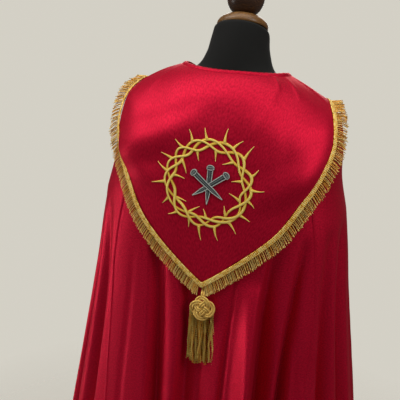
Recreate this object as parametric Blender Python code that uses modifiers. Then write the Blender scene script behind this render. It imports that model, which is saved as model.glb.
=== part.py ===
"""A cope, the long open cloak of a priest, hung on a limbless dress form.

Metres, +Z up. The wearer faces -Y, so the shield-shaped hood is on the +Y side and the
wearer's left is +X. The origin is the middle of the stand's underside. Every cloth piece is
taken from one garment surface, which a point reaches by its angle round the body (0 at the
middle of the back, positive towards the wearer's left) and by its way down from the neckline.
"""
import math
from collections import namedtuple

import bmesh
import bpy
import numpy as np
from mathutils import Matrix, Vector

# Driving dimensions of the cloth.
CLOTH = 0.002               # wall of the cope's panels
HOOD_WALL = 0.0022          # lined and stiffened
SEAM_GAP = 0.0004           # between neighbouring pieces
PANEL_GAP = 0.0007          # between the panels, whose walls turn a little at the seam
BAND_WIDTH = 0.011          # neck binding
BAND_WALL = 0.0046
SEAM_HALF_WIDTH_LEFT = 0.209
SEAM_HALF_WIDTH_RIGHT = 0.231
SEAM_ANGLE_LEFT = math.radians(46)
SEAM_ANGLE_RIGHT = math.radians(51)
FRONT_HALF_GAP_NECK = 0.048
FRONT_HALF_GAP_HEM = 0.070
RIGHT_DROP = 0.020          # the wearer's right shoulder hangs lower
DROP_REACH = 0.22
DROP_HEIGHTS = (1.00, 1.40)

# The garment's outline: where its back, side and front lie at each level, how its columns
# are spaced round it, and how flat its back is.
Station = namedtuple("Station",
                     "back_y back_z side_x side_z front_y front_z round_power back_power")
STATIONS = (
    Station(0.080, 1.500, 0.109, 1.509, -0.098, 1.452, 2.00, 2.00),   # neckline
    Station(0.103, 1.483, 0.140, 1.495, -0.122, 1.425, 2.00, 2.00),
    Station(0.127, 1.455, 0.175, 1.479, -0.142, 1.395, 2.05, 2.05),
    Station(0.146, 1.415, 0.208, 1.461, -0.156, 1.355, 2.15, 2.25),
    Station(0.160, 1.370, 0.232, 1.436, -0.166, 1.310, 2.20, 2.60),   # point of the shoulder
    Station(0.171, 1.310, 0.245, 1.385, -0.174, 1.250, 2.20, 2.90),
    Station(0.179, 1.240, 0.251, 1.310, -0.180, 1.180, 2.15, 3.00),
    Station(0.186, 1.150, 0.274, 1.210, -0.186, 1.100, 2.10, 3.00),
    Station(0.200, 1.000, 0.297, 1.040, -0.200, 0.960, 2.10, 2.80),   # waist
    Station(0.225, 0.800, 0.334, 0.820, -0.225, 0.780, 2.10, 2.50),
    Station(0.260, 0.500, 0.390, 0.500, -0.260, 0.490, 2.10, 2.25),
    Station(0.305, 0.110, 0.450, 0.110, -0.305, 0.110, 2.10, 2.10),   # hem
)

# Hanging folds. Each is a trough that the cloth makes between two rounded ridges: its angle
# just under the hood and at the hem, its width on the wearer's left and right of its bottom,
# and its depth at the hem.
Fold = namedtuple("Fold", "high_deg low_deg left_width right_width depth")
FOLDS = (
    Fold(23.2, 10.9, 0.018, 0.050, 0.075),
    Fold(6.5, 3.0, 0.018, 0.085, 0.070),
    Fold(-13.8, -6.5, 0.010, 0.012, 0.020),
    Fold(-29.2, -16.0, 0.022, 0.050, 0.095),
    Fold(-46.0, -23.0, 0.022, 0.027, 0.080),
    Fold(57, 44, 0.040, 0.034, 0.045),
    Fold(75, 65, 0.030, 0.055, 0.070),
    Fold(93, 88, 0.055, 0.040, 0.075),
    Fold(111, 110, 0.035, 0.060, 0.070),
    Fold(129, 131, 0.030, 0.055, 0.075),
    Fold(147, 151, 0.036, 0.045, 0.050),
    Fold(-64, -48, 0.035, 0.040, 0.065),
    Fold(-78, -67, 0.055, 0.030, 0.075),
    Fold(-95, -90, 0.040, 0.060, 0.070),
    Fold(-113, -112, 0.060, 0.035, 0.075),
    Fold(-131, -133, 0.055, 0.040, 0.070),
    Fold(-149, -153, 0.045, 0.036, 0.050),
)
FOLD_START = 0.36
FOLD_TURN_LENGTH = 0.40
FOLD_RISE = 0.6
FOLD_ROUND = 0.12          # how round a trough's bottom is

RIDGE_SWELL = 0.7           # how soon a ridge stands out

# A ridge that swells out below the hood, from a top to a foot on the cloth, with its width
# on the wearer's left and right of its crest.
Ridge = namedtuple("Ridge", "top_deg top_down foot_deg foot_down left_width right_width rise")
RIDGES = (
    Ridge(-21.5, 0.440, -13.5, 1.36, 0.046, 0.026, 0.050),
)

# The hood's lower edge: how far down it lies under each angle of the neckline.
EdgeMark = namedtuple("EdgeMark", "angle_deg down")
HOOD_EDGE = (
    EdgeMark(0, 0.446),
    EdgeMark(10, 0.406),
    EdgeMark(20, 0.369),
    EdgeMark(31, 0.331),
    EdgeMark(42.5, 0.284),
    EdgeMark(50, 0.256),
    EdgeMark(56.5, 0.224),
    EdgeMark(60, 0.207),
    EdgeMark(62.5, 0.190),
    EdgeMark(64, 0.172),
    EdgeMark(66, 0.152),
    EdgeMark(70, 0.132),
    EdgeMark(75, 0.115),
    EdgeMark(85, 0.100),
    EdgeMark(100, 0.090),
    EdgeMark(120, 0.072),
    EdgeMark(140, 0.045),
)
HOOD_END = math.radians(140)
HOOD_LIFT_TOP = 0.0009
HOOD_LIFT = 0.0032
HOOD_LIFT_LENGTH = 0.05

# Mesh density.
BACK_COLUMNS = 36
FRONT_COLUMNS = 34
SHOULDER_ROWS = 8
SKIRT_ROWS = 10
SKIRT_ROW_GROWTH = 1.3
SHOULDER_DEPTH = 0.34
HOOD_COLUMNS = 60
HOOD_ROWS = 11
BAND_COLUMNS = 44

# Braid and fringe along the hood's edge.
BRAID = 0.009
BRAID_WALL = 0.002
STRAND_LENGTH = 0.023
STRANDS_A_SIDE = 60
STRAND_SHARE = 0.68         # of each step along the edge, the rest is a gap
STRAND_TAPER = 0.7
STRAND_SAG = 0.75           # how much a strand turns towards straight down
STRAND_LIFT = 0.70          # how far it stands off on the round of the shoulder
LIFT_ANGLES_DEG = (35, 130)
TIP_GAP = 0.0003

# Cord loop, knot and tassel under the hood's tip.
CORD_RADIUS = 0.002
LOOP_HALF_WIDTH = 0.0022
LOOP_LENGTH = 0.014
KNOT_RADIUS = 0.0275
KNOT_DEPTH = 0.014
KNOT_LIFT = 0.0167          # middle of the knot off the cloth's smooth face
SKIRT_DROP = 0.002          # top of the tassel's head under the knot's middle
SKIRT_LENGTH = 0.120
SKIRT_HEAD = 0.010
SKIRT_HALF_WIDTH = 0.0260
SKIRT_HALF_DEPTH = 0.0036
SKIRT_LIFT = 0.0053
SKIRT_SPREAD = 1.20
SKIRT_THICKENING = 2.0
SKIRT_CELLS = (11, 3)
TASSEL_LEAN = math.radians(3)
TASSEL_OFFSET = -0.006

# Tab that joins the fronts over the chest.
TAB_HALF_ANGLE = math.radians(27)
TAB_DOWN = (0.125, 0.185)
TAB_WALL = 0.003
TAB_LIFT = 0.0014

# Dress form and stand.
FormRing = namedtuple("FormRing", "height half_width half_depth centre_y tilt_deg")
FORM_RINGS = (
    FormRing(0.800, 0.160, 0.112, 0.000, 0),
    FormRing(0.812, 0.172, 0.122, 0.000, 0),
    FormRing(0.880, 0.178, 0.126, 0.000, 0),
    FormRing(0.960, 0.164, 0.116, 0.000, 0),
    FormRing(1.060, 0.138, 0.102, 0.000, 0),
    FormRing(1.160, 0.146, 0.110, 0.000, 0),
    FormRing(1.270, 0.174, 0.122, 0.000, 0),
    FormRing(1.360, 0.193, 0.120, 0.000, 0),
    FormRing(1.420, 0.197, 0.103, 0.000, 0),
    FormRing(1.456, 0.187, 0.082, 0.006, 0),
    FormRing(1.476, 0.163, 0.069, 0.008, 0),
    FormRing(1.492, 0.118, 0.059, 0.003, 2),
    FormRing(1.506, 0.086, 0.062, -0.006, 5),
    FormRing(1.535, 0.070, 0.064, -0.018, 12),
    FormRing(1.578, 0.0615, 0.0605, -0.030, 16),
    FormRing(1.587, 0.0570, 0.0565, -0.0326, 16),
)
FORM_SIDES = 28
NECK_TILT = math.radians(16)
NECK_TOP = (0.0, -0.0326, 1.587)
DISC_RADIUS = 0.0565
DISC_HEIGHT = 0.027
DISC_TOP_RADIUS = 0.018     # flat place on its domed top
DISC_EDGE = 0.004
BALL_RADIUS = 0.0415
BALL_FOOT = 0.0015          # how far the ball's flat foot cuts into its sphere
POLE_RADIUS = 0.016
BASE_RADIUS = 0.190
BASE_HEIGHT = 0.014
BASE_ROUND = 0.005
REST_GAP = 0.0003

RED = (0.56, 0.012, 0.035)
GOLD = (0.72, 0.47, 0.12)
BRAID_GOLD = (0.80, 0.60, 0.18)
BLACK = (0.012, 0.012, 0.014)
WALNUT = (0.10, 0.042, 0.018)
STEEL = (0.03, 0.03, 0.032)


# ---------------------------------------------------------------- the garment surface

def station_depths():
    """Way down from the neckline to each station, as the mean of back, side and front."""
    depths = [0.0]
    for upper, lower in zip(STATIONS, STATIONS[1:]):
        back = math.hypot(lower.back_y - upper.back_y, lower.back_z - upper.back_z)
        side = math.hypot(lower.side_x - upper.side_x, lower.side_z - upper.side_z)
        front = math.hypot(lower.front_y - upper.front_y, lower.front_z - upper.front_z)
        depths.append(depths[-1] + (back + side + front) / 3)
    return depths


DEPTHS = station_depths()
HEM = DEPTHS[-1]
TABLE = np.array(STATIONS)


def section(down):
    """The outline at one level, on a smooth curve through the stations."""
    down = min(max(down, 0.0), HEM)
    index = min(int(np.searchsorted(DEPTHS, down, side="right")) - 1, len(DEPTHS) - 2)
    span = DEPTHS[index + 1] - DEPTHS[index]
    t = (down - DEPTHS[index]) / span

    def slope(i):
        before = max(i - 1, 0)
        after = min(i + 1, len(DEPTHS) - 1)
        return (TABLE[after] - TABLE[before]) / (DEPTHS[after] - DEPTHS[before])

    values = ((2 * t**3 - 3 * t**2 + 1) * TABLE[index]
              + (t**3 - 2 * t**2 + t) * span * slope(index)
              + (3 * t**2 - 2 * t**3) * TABLE[index + 1]
              + (t**3 - t**2) * span * slope(index + 1))
    return Station(*values)


def smooth_step(t):
    t = min(max(t, 0.0), 1.0)
    return t * t * (3 - 2 * t)


def right_drop(x, z):
    """How much lower the wearer's right side hangs than the left."""
    low, high = DROP_HEIGHTS
    return RIGHT_DROP * smooth_step(-x / DROP_REACH) * smooth_step((z - low) / (high - low))


def smooth_point(angle, down):
    """A point of the garment surface before its folds."""
    ring = section(down)
    cosine = math.cos(angle)
    sine = math.sin(angle)
    x = ring.side_x * math.copysign(abs(sine) ** (2 / ring.round_power), sine)
    back = cosine > 0
    if back:
        y = ring.back_y * (1 - (abs(x) / ring.side_x) ** ring.back_power) ** (1 / ring.back_power)
    else:
        y = ring.front_y * abs(cosine) ** (2 / ring.round_power)
    z = ring.side_z * sine**2 + (ring.back_z if back else ring.front_z) * cosine**2
    return Vector((x, y, z - right_drop(x, z)))


def outward(angle, down):
    """Unit normal of the smooth surface, away from the body."""
    step = 0.004
    low = min(down + step, HEM)
    high = max(down - step, 0.0)
    across = smooth_point(angle + step, down) - smooth_point(angle - step, down)
    along = smooth_point(angle, low) - smooth_point(angle, high)
    return across.cross(along).normalized()


def trough(offset):
    """A fold's depth, from 1 at its bottom to 0 at the ridge beside it, as shares of both."""
    rounded = math.hypot(offset, FOLD_ROUND) - FOLD_ROUND
    return 1 - math.sin(math.pi / 2 * rounded / (math.hypot(1, FOLD_ROUND) - FOLD_ROUND))


def fold_depth(angle, down):
    """How deep the troughs are at a point of the cloth."""
    if down <= FOLD_START:
        return 0.0
    share = ((down - FOLD_START) / (HEM - FOLD_START)) ** FOLD_RISE
    turn = math.exp(-(down - FOLD_START) / FOLD_TURN_LENGTH)
    girth = section(down).side_x
    depth = 0.0
    for fold in FOLDS:
        middle = math.radians(fold.low_deg + (fold.high_deg - fold.low_deg) * turn)
        offset = (angle - middle) * girth
        offset = offset / fold.left_width if offset > 0 else -offset / fold.right_width
        if offset < 1:
            depth += fold.depth * share * trough(offset)
    return depth


def ridge_rise(angle, down):
    """How far the ridges lift a point of the cloth."""
    girth = section(down).side_x
    rise = 0.0
    for ridge in RIDGES:
        t = (down - ridge.top_down) / (ridge.foot_down - ridge.top_down)
        middle = math.radians(ridge.top_deg + (ridge.foot_deg - ridge.top_deg) * t)
        offset = (angle - middle) * girth
        offset = offset / ridge.left_width if offset > 0 else -offset / ridge.right_width
        if 0 < t < 1 and offset < 1:
            swell = math.sin(math.pi * t) ** RIDGE_SWELL
            rise += ridge.rise * swell * (1 + math.cos(math.pi * offset)) / 2
    return rise


def cloth_point(angle, down, out=0.0, folded=True):
    """A point at a distance out from the cloth's outer face."""
    if folded:
        out += ridge_rise(angle, down) - fold_depth(angle, down)
    return smooth_point(angle, down) + outward(angle, down) * out


def angle_at_width(half_width, down):
    """Angle of the back surface at a distance to the side of its middle."""
    ring = section(down)
    return math.asin(min(half_width / ring.side_x, 1.0) ** (ring.round_power / 2))


def seam_angle(down, left):
    """Angle of a back seam, upright below the hood."""
    if left:
        return min(SEAM_ANGLE_LEFT, angle_at_width(SEAM_HALF_WIDTH_LEFT, down))
    return min(SEAM_ANGLE_RIGHT, angle_at_width(SEAM_HALF_WIDTH_RIGHT, down))


def front_angle(down):
    """Angle of the open front edge."""
    gap = FRONT_HALF_GAP_NECK + (FRONT_HALF_GAP_HEM - FRONT_HALF_GAP_NECK) * down / HEM
    return math.pi - angle_at_width(gap, down)


def column_angle(start, down):
    """Angle, at a level, of the column of cloth that starts at an angle of the neckline."""
    left = start >= 0
    seam_top = SEAM_ANGLE_LEFT if left else SEAM_ANGLE_RIGHT
    seam = seam_angle(down, left)
    side = 1 if left else -1
    if abs(start) <= seam_top:
        return start * seam / seam_top
    share = (abs(start) - seam_top) / (front_angle(0.0) - seam_top)
    return side * (seam + share * (front_angle(down) - seam))


def hood_edge(start):
    """Way down to the hood's edge, on a smooth curve through the marks of one side."""
    degrees = abs(math.degrees(start))
    marks = HOOD_EDGE
    index = 0
    while index < len(marks) - 2 and degrees > marks[index + 1].angle_deg:
        index += 1
    span = marks[index + 1].angle_deg - marks[index].angle_deg
    t = (degrees - marks[index].angle_deg) / span

    def slope(i):
        before = marks[max(i - 1, 0)]
        after = marks[min(i + 1, len(marks) - 1)]
        return (after.down - before.down) / (after.angle_deg - before.angle_deg)

    return ((2 * t**3 - 3 * t**2 + 1) * marks[index].down
            + (t**3 - 2 * t**2 + t) * span * slope(index)
            + (3 * t**2 - 2 * t**3) * marks[index + 1].down
            + (t**3 - t**2) * span * slope(index + 1))


def hood_lift(down):
    """Gap between the cope and the hood that lies on it."""
    return HOOD_LIFT_TOP + (HOOD_LIFT - HOOD_LIFT_TOP) * smooth_step(down / HOOD_LIFT_LENGTH)


# ---------------------------------------------------------------- making objects

def make_material(name, colour, roughness, metallic=0.0, sheen=0.0):
    material = bpy.data.materials.new(name)
    material.use_nodes = True
    shader = material.node_tree.nodes["Principled BSDF"]
    shader.inputs["Base Color"].default_value = (*colour, 1.0)
    shader.inputs["Roughness"].default_value = roughness
    shader.inputs["Metallic"].default_value = metallic
    shader.inputs["Sheen Weight"].default_value = sheen
    return material


def make_object(name, mesh, material, collection):
    thing = bpy.data.objects.new(name, mesh)
    mesh.materials.append(material)
    collection.objects.link(thing)
    return thing


def mesh_from(bm, name, smooth=True):
    mesh = bpy.data.meshes.new(name)
    bm.to_mesh(mesh)
    bm.free()
    if smooth:
        mesh.shade_smooth()
        mesh.set_sharp_from_angle(angle=math.radians(40))
    return mesh


def thicken(thing, wall):
    """Give an open surface a wall behind its outer face."""
    solidify = thing.modifiers.new("wall", "SOLIDIFY")
    solidify.thickness = wall
    solidify.offset = -1


def make_sheet(name, columns, rows, place, wall, material, collection):
    """A cloth piece: a grid whose points are set by place(across, down), both from 0 to 1."""
    bm = bmesh.new()
    bmesh.ops.create_grid(bm, x_segments=columns, y_segments=rows, size=0.5)
    for vertex in bm.verts:
        vertex.co = place(vertex.co.x + 0.5, vertex.co.y + 0.5)
    thing = make_object(name, mesh_from(bm, name), material, collection)
    thicken(thing, wall)
    return thing


def make_turned(name, profile, sides, material, collection):
    """A turned solid: its profile, from the axis at the top to the axis at the bottom."""
    mesh = bpy.data.meshes.new(name)
    points = [(radius, 0.0, height) for radius, height in profile]
    edges = [(i, i + 1) for i in range(len(points) - 1)]
    mesh.from_pydata(points, edges, [])
    thing = make_object(name, mesh, material, collection)
    screw = thing.modifiers.new("turn", "SCREW")
    screw.steps = sides
    screw.render_steps = sides
    screw.use_merge_vertices = True
    screw.merge_threshold = 0.0001
    screw.use_smooth_shade = True
    return thing


def rounded_profile(radius, height, corner, steps):
    """Outline of a round plate with rounded rims, from its top's middle to its underside's."""
    points = [(0.0, height)]
    for i in range(steps + 1):
        turn = math.pi / 2 * i / steps
        points.append((radius - corner + corner * math.sin(turn),
                       height - corner + corner * math.cos(turn)))
    for i in range(steps + 1):
        turn = math.pi / 2 * i / steps
        points.append((radius - corner + corner * math.cos(turn),
                       corner - corner * math.sin(turn)))
    points.append((0.0, 0.0))
    return points


# ---------------------------------------------------------------- the cope

def row_depth(share):
    """Way down of a row: close over the shoulder, and further and further apart below it."""
    rows = SHOULDER_ROWS + SKIRT_ROWS
    row = share * rows
    top = BAND_WIDTH + SEAM_GAP
    if row <= SHOULDER_ROWS:
        return top + (SHOULDER_DEPTH - top) * row / SHOULDER_ROWS
    fall = ((row - SHOULDER_ROWS) / SKIRT_ROWS) ** SKIRT_ROW_GROWTH
    return SHOULDER_DEPTH + (HEM - SHOULDER_DEPTH) * fall


def make_cope(red, collection):
    """The three panels of the cloak, parted at the two back seams."""
    rows = SHOULDER_ROWS + SKIRT_ROWS

    def seam_margin(down):
        return PANEL_GAP / 2 / section(down).side_x

    def back(across, share):
        down = row_depth(share)
        start = -SEAM_ANGLE_RIGHT + (SEAM_ANGLE_LEFT + SEAM_ANGLE_RIGHT) * across
        angle = column_angle(start, down)
        low = -seam_angle(down, False) + seam_margin(down)
        high = seam_angle(down, True) - seam_margin(down)
        return cloth_point(min(max(angle, low), high), down)

    def front(across, share, left):
        down = row_depth(share)
        seam = seam_angle(down, left) + seam_margin(down)
        angle = seam + (front_angle(down) - seam) * across
        return cloth_point(angle if left else -angle, down)

    make_sheet("cope_back", BACK_COLUMNS, rows, back, CLOTH, red, collection)
    make_sheet("cope_front_left", FRONT_COLUMNS, rows,
               lambda across, share: front(across, share, True), CLOTH, red, collection)
    make_sheet("cope_front_right", FRONT_COLUMNS, rows,
               lambda across, share: front(1 - across, share, False), CLOTH, red, collection)


def make_hood(red, collection):
    """The flat shield that hangs from the neckline and bridges the cope's folds."""
    top = BAND_WIDTH + SEAM_GAP

    def place(across, share):
        start = HOOD_END * (2 * across - 1)
        down = top + (hood_edge(start) - top) * share
        angle = column_angle(start, down)
        out = hood_lift(down) + HOOD_WALL
        return cloth_point(angle, down, out, folded=False)

    make_sheet("hood", HOOD_COLUMNS, HOOD_ROWS, place, HOOD_WALL, red, collection)


def make_binding(red, collection):
    """The band that binds the layers round the neck."""
    limit = front_angle(0.0)

    def place(across, share):
        angle = limit * (2 * across - 1)
        swell = 0.0004 * math.sin(math.pi * share)
        return cloth_point(angle, BAND_WIDTH * share, HOOD_LIFT_TOP + HOOD_WALL + swell)

    make_sheet("neck_binding", BAND_COLUMNS, 3, place, BAND_WALL, red, collection)


def make_tab(red, collection):
    """The tab over the chest that joins the two fronts."""
    upper, lower = TAB_DOWN

    def place(across, share):
        angle = math.pi - TAB_HALF_ANGLE * (2 * across - 1)
        down = upper + (lower - upper) * share
        return cloth_point(-angle, down, TAB_LIFT + TAB_WALL)

    make_sheet("clasp_tab", 12, 3, place, TAB_WALL, red, collection)


# ---------------------------------------------------------------- braid, fringe and tassel

def edge_point(start, out):
    down = hood_edge(start)
    return cloth_point(column_angle(start, down), down, out, folded=False)


def edge_frame(start, side, out):
    """Point of the hood's edge, the way off the cloth across the braid, and the normal."""
    step = math.radians(0.5)
    inner = max(abs(start) - step, 0.0)
    outer = min(abs(start) + step, HOOD_END)
    along = (edge_point(side * outer, out) - edge_point(side * inner, out)).normalized()
    down = hood_edge(start)
    normal = outward(column_angle(start, down), down)
    across = (normal.cross(along) * side).normalized()
    return edge_point(start, out), across, normal


def even_starts(side, count, out):
    """Neckline angles that part the hood's edge into equal lengths, from its tip up."""
    samples = 400
    starts = [side * HOOD_END * i / samples for i in range(samples + 1)]
    points = [edge_point(start, out) for start in starts]
    lengths = [0.0]
    for before, after in zip(points, points[1:]):
        lengths.append(lengths[-1] + (after - before).length)
    marks = np.linspace(0.0, lengths[-1], count)
    return [float(np.interp(mark, lengths, np.abs(starts))) * side for mark in marks]


def shoulder_share(start):
    """1 on the top of the shoulder, 0 on the flat of the back and of the chest."""
    low, high = LIFT_ANGLES_DEG
    share = (abs(math.degrees(start)) - low) / (high - low)
    return math.sin(math.pi * share) ** 2 if 0 < share < 1 else 0.0


def make_fringe(name, side, gold, collection):
    """Braid with hanging strands: one open comb-shaped surface, then thickened."""
    out = HOOD_LIFT + HOOD_WALL
    steps = STRANDS_A_SIDE
    fine = 100
    starts = even_starts(side, steps * fine + 1, out)
    marks = []
    for i in range(steps):
        gap = round((1 - STRAND_SHARE) / 2 * fine)
        marks.append(starts[i * fine + gap])
        marks.append(starts[(i + 1) * fine - gap])
    bm = bmesh.new()
    upper = []
    lower = []
    tips = []
    for index, start in enumerate(marks):
        point, across, normal = edge_frame(start, side, out)
        down_slope = Vector((0, 0, -1)) - normal * normal.dot(Vector((0, 0, -1)))
        hang = (across + down_slope.normalized() * STRAND_SAG
                + normal * STRAND_LIFT * shoulder_share(start)).normalized()
        if index == 0:
            middle = edge_point(0.0, out)
            tip_shift = Vector((side * TIP_GAP, 0, 0))
            stretch = 1 / max(across.dot(down_slope.normalized()), 0.5)
            upper.append(bm.verts.new(middle + tip_shift
                                      + down_slope.normalized() * SEAM_GAP * stretch))
            lower.append(bm.verts.new(middle + tip_shift
                                      + down_slope.normalized() * BRAID * stretch))
        else:
            upper.append(bm.verts.new(point + across * SEAM_GAP))
            lower.append(bm.verts.new(point + across * BRAID))
        tips.append(lower[-1].co + hang * STRAND_LENGTH)
    for index in range(len(marks) - 1):
        ring = [upper[index], upper[index + 1], lower[index + 1], lower[index]]
        bm.faces.new(ring if side < 0 else ring[::-1])
    for index in range(0, len(marks), 2):
        first, second = tips[index], tips[index + 1]
        middle = (first + second) / 2
        near = bm.verts.new(middle + (first - middle) * STRAND_TAPER)
        far = bm.verts.new(middle + (second - middle) * STRAND_TAPER)
        ring = [lower[index], lower[index + 1], far, near]
        bm.faces.new(ring if side < 0 else ring[::-1])
    thing = make_object(name, mesh_from(bm, name, smooth=False), gold, collection)
    thicken(thing, BRAID_WALL)
    return thing


def tassel_frame():
    """Matrix whose origin is under the hood's tip, whose -Z runs down the cloth as the
    tassel hangs, and whose +Y points off the cloth."""
    top_down = hood_edge(0.0) + BRAID * 1.5
    low_down = top_down + LOOP_LENGTH + KNOT_RADIUS + SKIRT_LENGTH
    top = cloth_point(0.0, top_down, folded=False)
    low = cloth_point(0.0, low_down, folded=False)
    along = (low - top).normalized()
    normal = Vector((1, 0, 0)).cross(along).normalized()
    turned = Matrix(((1, 0, 0), normal, -along)).transposed().to_4x4()
    lean = Matrix.Rotation(TASSEL_LEAN, 4, "Y")
    return Matrix.Translation(top + Vector((TASSEL_OFFSET, 0, 0))) @ turned @ lean


def make_tassel(gold, collection):
    """Doubled cord, round knot and tassel, in line down the cloth."""
    frame = tassel_frame()
    curve = bpy.data.curves.new("tassel_loop", "CURVE")
    curve.dimensions = "3D"
    curve.bevel_depth = CORD_RADIUS
    curve.bevel_resolution = 1
    curve.use_fill_caps = True
    curve.materials.append(gold)
    spline = curve.splines.new("POLY")
    bend = 6
    route = [(LOOP_HALF_WIDTH, -LOOP_LENGTH)]
    for i in range(bend + 1):
        turn = math.pi * i / bend
        route.append((LOOP_HALF_WIDTH * math.cos(turn),
                      -CORD_RADIUS - LOOP_HALF_WIDTH + LOOP_HALF_WIDTH * math.sin(turn)))
    route.append((-LOOP_HALF_WIDTH, -LOOP_LENGTH))
    spline.points.add(len(route) - 1)
    for point, (x, z) in zip(spline.points, route):
        point.co = (x, 0.0, z, 1.0)
    loop = bpy.data.objects.new("tassel_loop", curve)
    loop.matrix_world = frame @ Matrix.Translation((0, KNOT_LIFT, 0))
    collection.objects.link(loop)

    bm = bmesh.new()
    bmesh.ops.create_uvsphere(bm, u_segments=18, v_segments=10, radius=1.0)
    bmesh.ops.scale(bm, vec=(KNOT_RADIUS, KNOT_DEPTH / 2, KNOT_RADIUS), verts=bm.verts)
    knot = make_object("tassel_knot", mesh_from(bm, "tassel_knot"), gold, collection)
    knot_middle = LOOP_LENGTH + REST_GAP + KNOT_RADIUS
    knot.matrix_world = frame @ Matrix.Translation((0, KNOT_LIFT, -knot_middle))

    skirt = make_object("tassel_skirt", skirt_mesh(), gold, collection)
    skirt_top = knot_middle + SKIRT_DROP
    skirt.matrix_world = frame @ Matrix.Translation((0, SKIRT_LIFT, -skirt_top))


def skirt_mesh():
    """The tassel's head with its strands, each drawn out of one cell of the underside."""
    columns, rows = SKIRT_CELLS
    bm = bmesh.new()
    bmesh.ops.create_grid(bm, x_segments=columns, y_segments=rows, size=1.0)
    for vertex in bm.verts:
        x, y = vertex.co.x, vertex.co.y
        vertex.co.x = x * math.sqrt(1 - y * y / 2) * SKIRT_HALF_WIDTH
        vertex.co.y = y * math.sqrt(1 - x * x / 2) * SKIRT_HALF_DEPTH
        vertex.co.z = -SKIRT_HEAD
    drawn = bmesh.ops.extrude_face_region(bm, geom=list(bm.faces))
    for item in drawn["geom"]:
        if isinstance(item, bmesh.types.BMVert):
            item.co.z = 0.0
    bmesh.ops.recalc_face_normals(bm, faces=bm.faces)
    under = [face for face in bm.faces if face.normal.z < -0.5]
    bmesh.ops.inset_individual(bm, faces=under, thickness=0.0003)
    drawn = bmesh.ops.extrude_discrete_faces(bm, faces=under)
    for number, face in enumerate(drawn["faces"]):
        middle = face.calc_center_median()
        length = SKIRT_LENGTH - SKIRT_HEAD - 0.005 * (1 + math.sin(2.4 * number))
        out = (middle.y + SKIRT_HALF_DEPTH) * SKIRT_THICKENING - SKIRT_HALF_DEPTH
        target = Vector((middle.x * SKIRT_SPREAD, out, -SKIRT_HEAD - length))
        for vertex in face.verts:
            vertex.co = target + (vertex.co - middle)
    return mesh_from(bm, "tassel_skirt", smooth=False)


# ---------------------------------------------------------------- dress form and stand

def make_torso(black, collection):
    """The form's body and neck, lofted between its rings."""
    bm = bmesh.new()
    loops = []
    for ring in FORM_RINGS:
        tilt = math.tan(math.radians(ring.tilt_deg))
        loop = []
        for i in range(FORM_SIDES):
            turn = 2 * math.pi * i / FORM_SIDES
            x = ring.half_width * math.cos(turn)
            y = ring.half_depth * math.sin(turn)
            z = ring.height + y * tilt
            place = (x, ring.centre_y + y, z - right_drop(x, z))
            loop.append(bm.verts.new(place))
        loops.append(loop)
    for lower, upper in zip(loops, loops[1:]):
        for i in range(FORM_SIDES):
            j = (i + 1) % FORM_SIDES
            bm.faces.new((lower[i], lower[j], upper[j], upper[i]))
    bm.faces.new(loops[0][::-1])
    bm.faces.new(loops[-1])
    make_object("form_torso", mesh_from(bm, "form_torso"), black, collection)


def domed_profile():
    """Outline of the neck's disc: a bun with a small flat top and a flat underside."""
    points = [(0.0, DISC_HEIGHT)]
    steps = 5
    for i in range(steps + 1):
        turn = math.pi / 2 * i / steps
        points.append((DISC_TOP_RADIUS + (DISC_RADIUS - DISC_TOP_RADIUS) * math.sin(turn),
                       DISC_EDGE + (DISC_HEIGHT - DISC_EDGE) * math.cos(turn)))
    points.append((DISC_RADIUS - DISC_EDGE / 2, 0.0))
    points.append((0.0, 0.0))
    return points


def make_finial(walnut, collection):
    """Wooden disc and ball that close the neck, both in line with it."""
    axis = Matrix.Translation(NECK_TOP) @ Matrix.Rotation(NECK_TILT, 4, "X")
    disc = make_turned("neck_disc", domed_profile(), 22, walnut, collection)
    disc.matrix_world = axis @ Matrix.Translation((0, 0, REST_GAP))
    steps = 9
    foot = math.acos((BALL_RADIUS - BALL_FOOT) / BALL_RADIUS)
    profile = []
    for i in range(steps + 1):
        turn = (math.pi - foot) * i / steps
        profile.append((BALL_RADIUS * math.sin(turn), BALL_RADIUS * math.cos(turn)))
    profile.append((0.0, profile[-1][1]))
    ball = make_turned("finial_ball", profile, 18, walnut, collection)
    height = REST_GAP + DISC_HEIGHT + REST_GAP + BALL_RADIUS - BALL_FOOT
    ball.matrix_world = axis @ Matrix.Translation((0, 0, height))


def make_stand(steel, collection):
    """Round foot and the pole up to the form."""
    make_turned("stand_base", rounded_profile(BASE_RADIUS, BASE_HEIGHT, BASE_ROUND, 2),
                32, steel, collection)
    low = BASE_HEIGHT + REST_GAP
    high = FORM_RINGS[0].height - REST_GAP
    bm = bmesh.new()
    bmesh.ops.create_cone(bm, cap_ends=True, segments=16, radius1=POLE_RADIUS,
                          radius2=POLE_RADIUS, depth=high - low)
    pole = make_object("stand_pole", mesh_from(bm, "stand_pole"), steel, collection)
    pole.location = (0, 0, (low + high) / 2)


def main():
    for thing in list(bpy.data.objects):
        bpy.data.objects.remove(thing, do_unlink=True)
    collection = bpy.data.collections.new("cope_on_dress_form")
    bpy.context.scene.collection.children.link(collection)

    make_cope(make_material("cope_satin", RED, 0.38, sheen=0.2), collection)
    make_hood(make_material("hood_satin", RED, 0.38, sheen=0.2), collection)
    make_binding(make_material("binding_satin", RED, 0.40, sheen=0.2), collection)
    make_tab(make_material("tab_satin", RED, 0.38, sheen=0.2), collection)
    braid = make_material("fringe_gold", BRAID_GOLD, 0.45, metallic=0.4)
    make_fringe("hood_fringe_left", 1, braid, collection)
    make_fringe("hood_fringe_right", -1, braid, collection)
    make_tassel(make_material("tassel_gold", GOLD, 0.5, metallic=0.3), collection)
    make_torso(make_material("form_jersey", BLACK, 0.85), collection)
    make_finial(make_material("walnut", WALNUT, 0.35), collection)
    make_stand(make_material("stand_steel", STEEL, 0.45, metallic=0.8), collection)


main()
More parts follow.
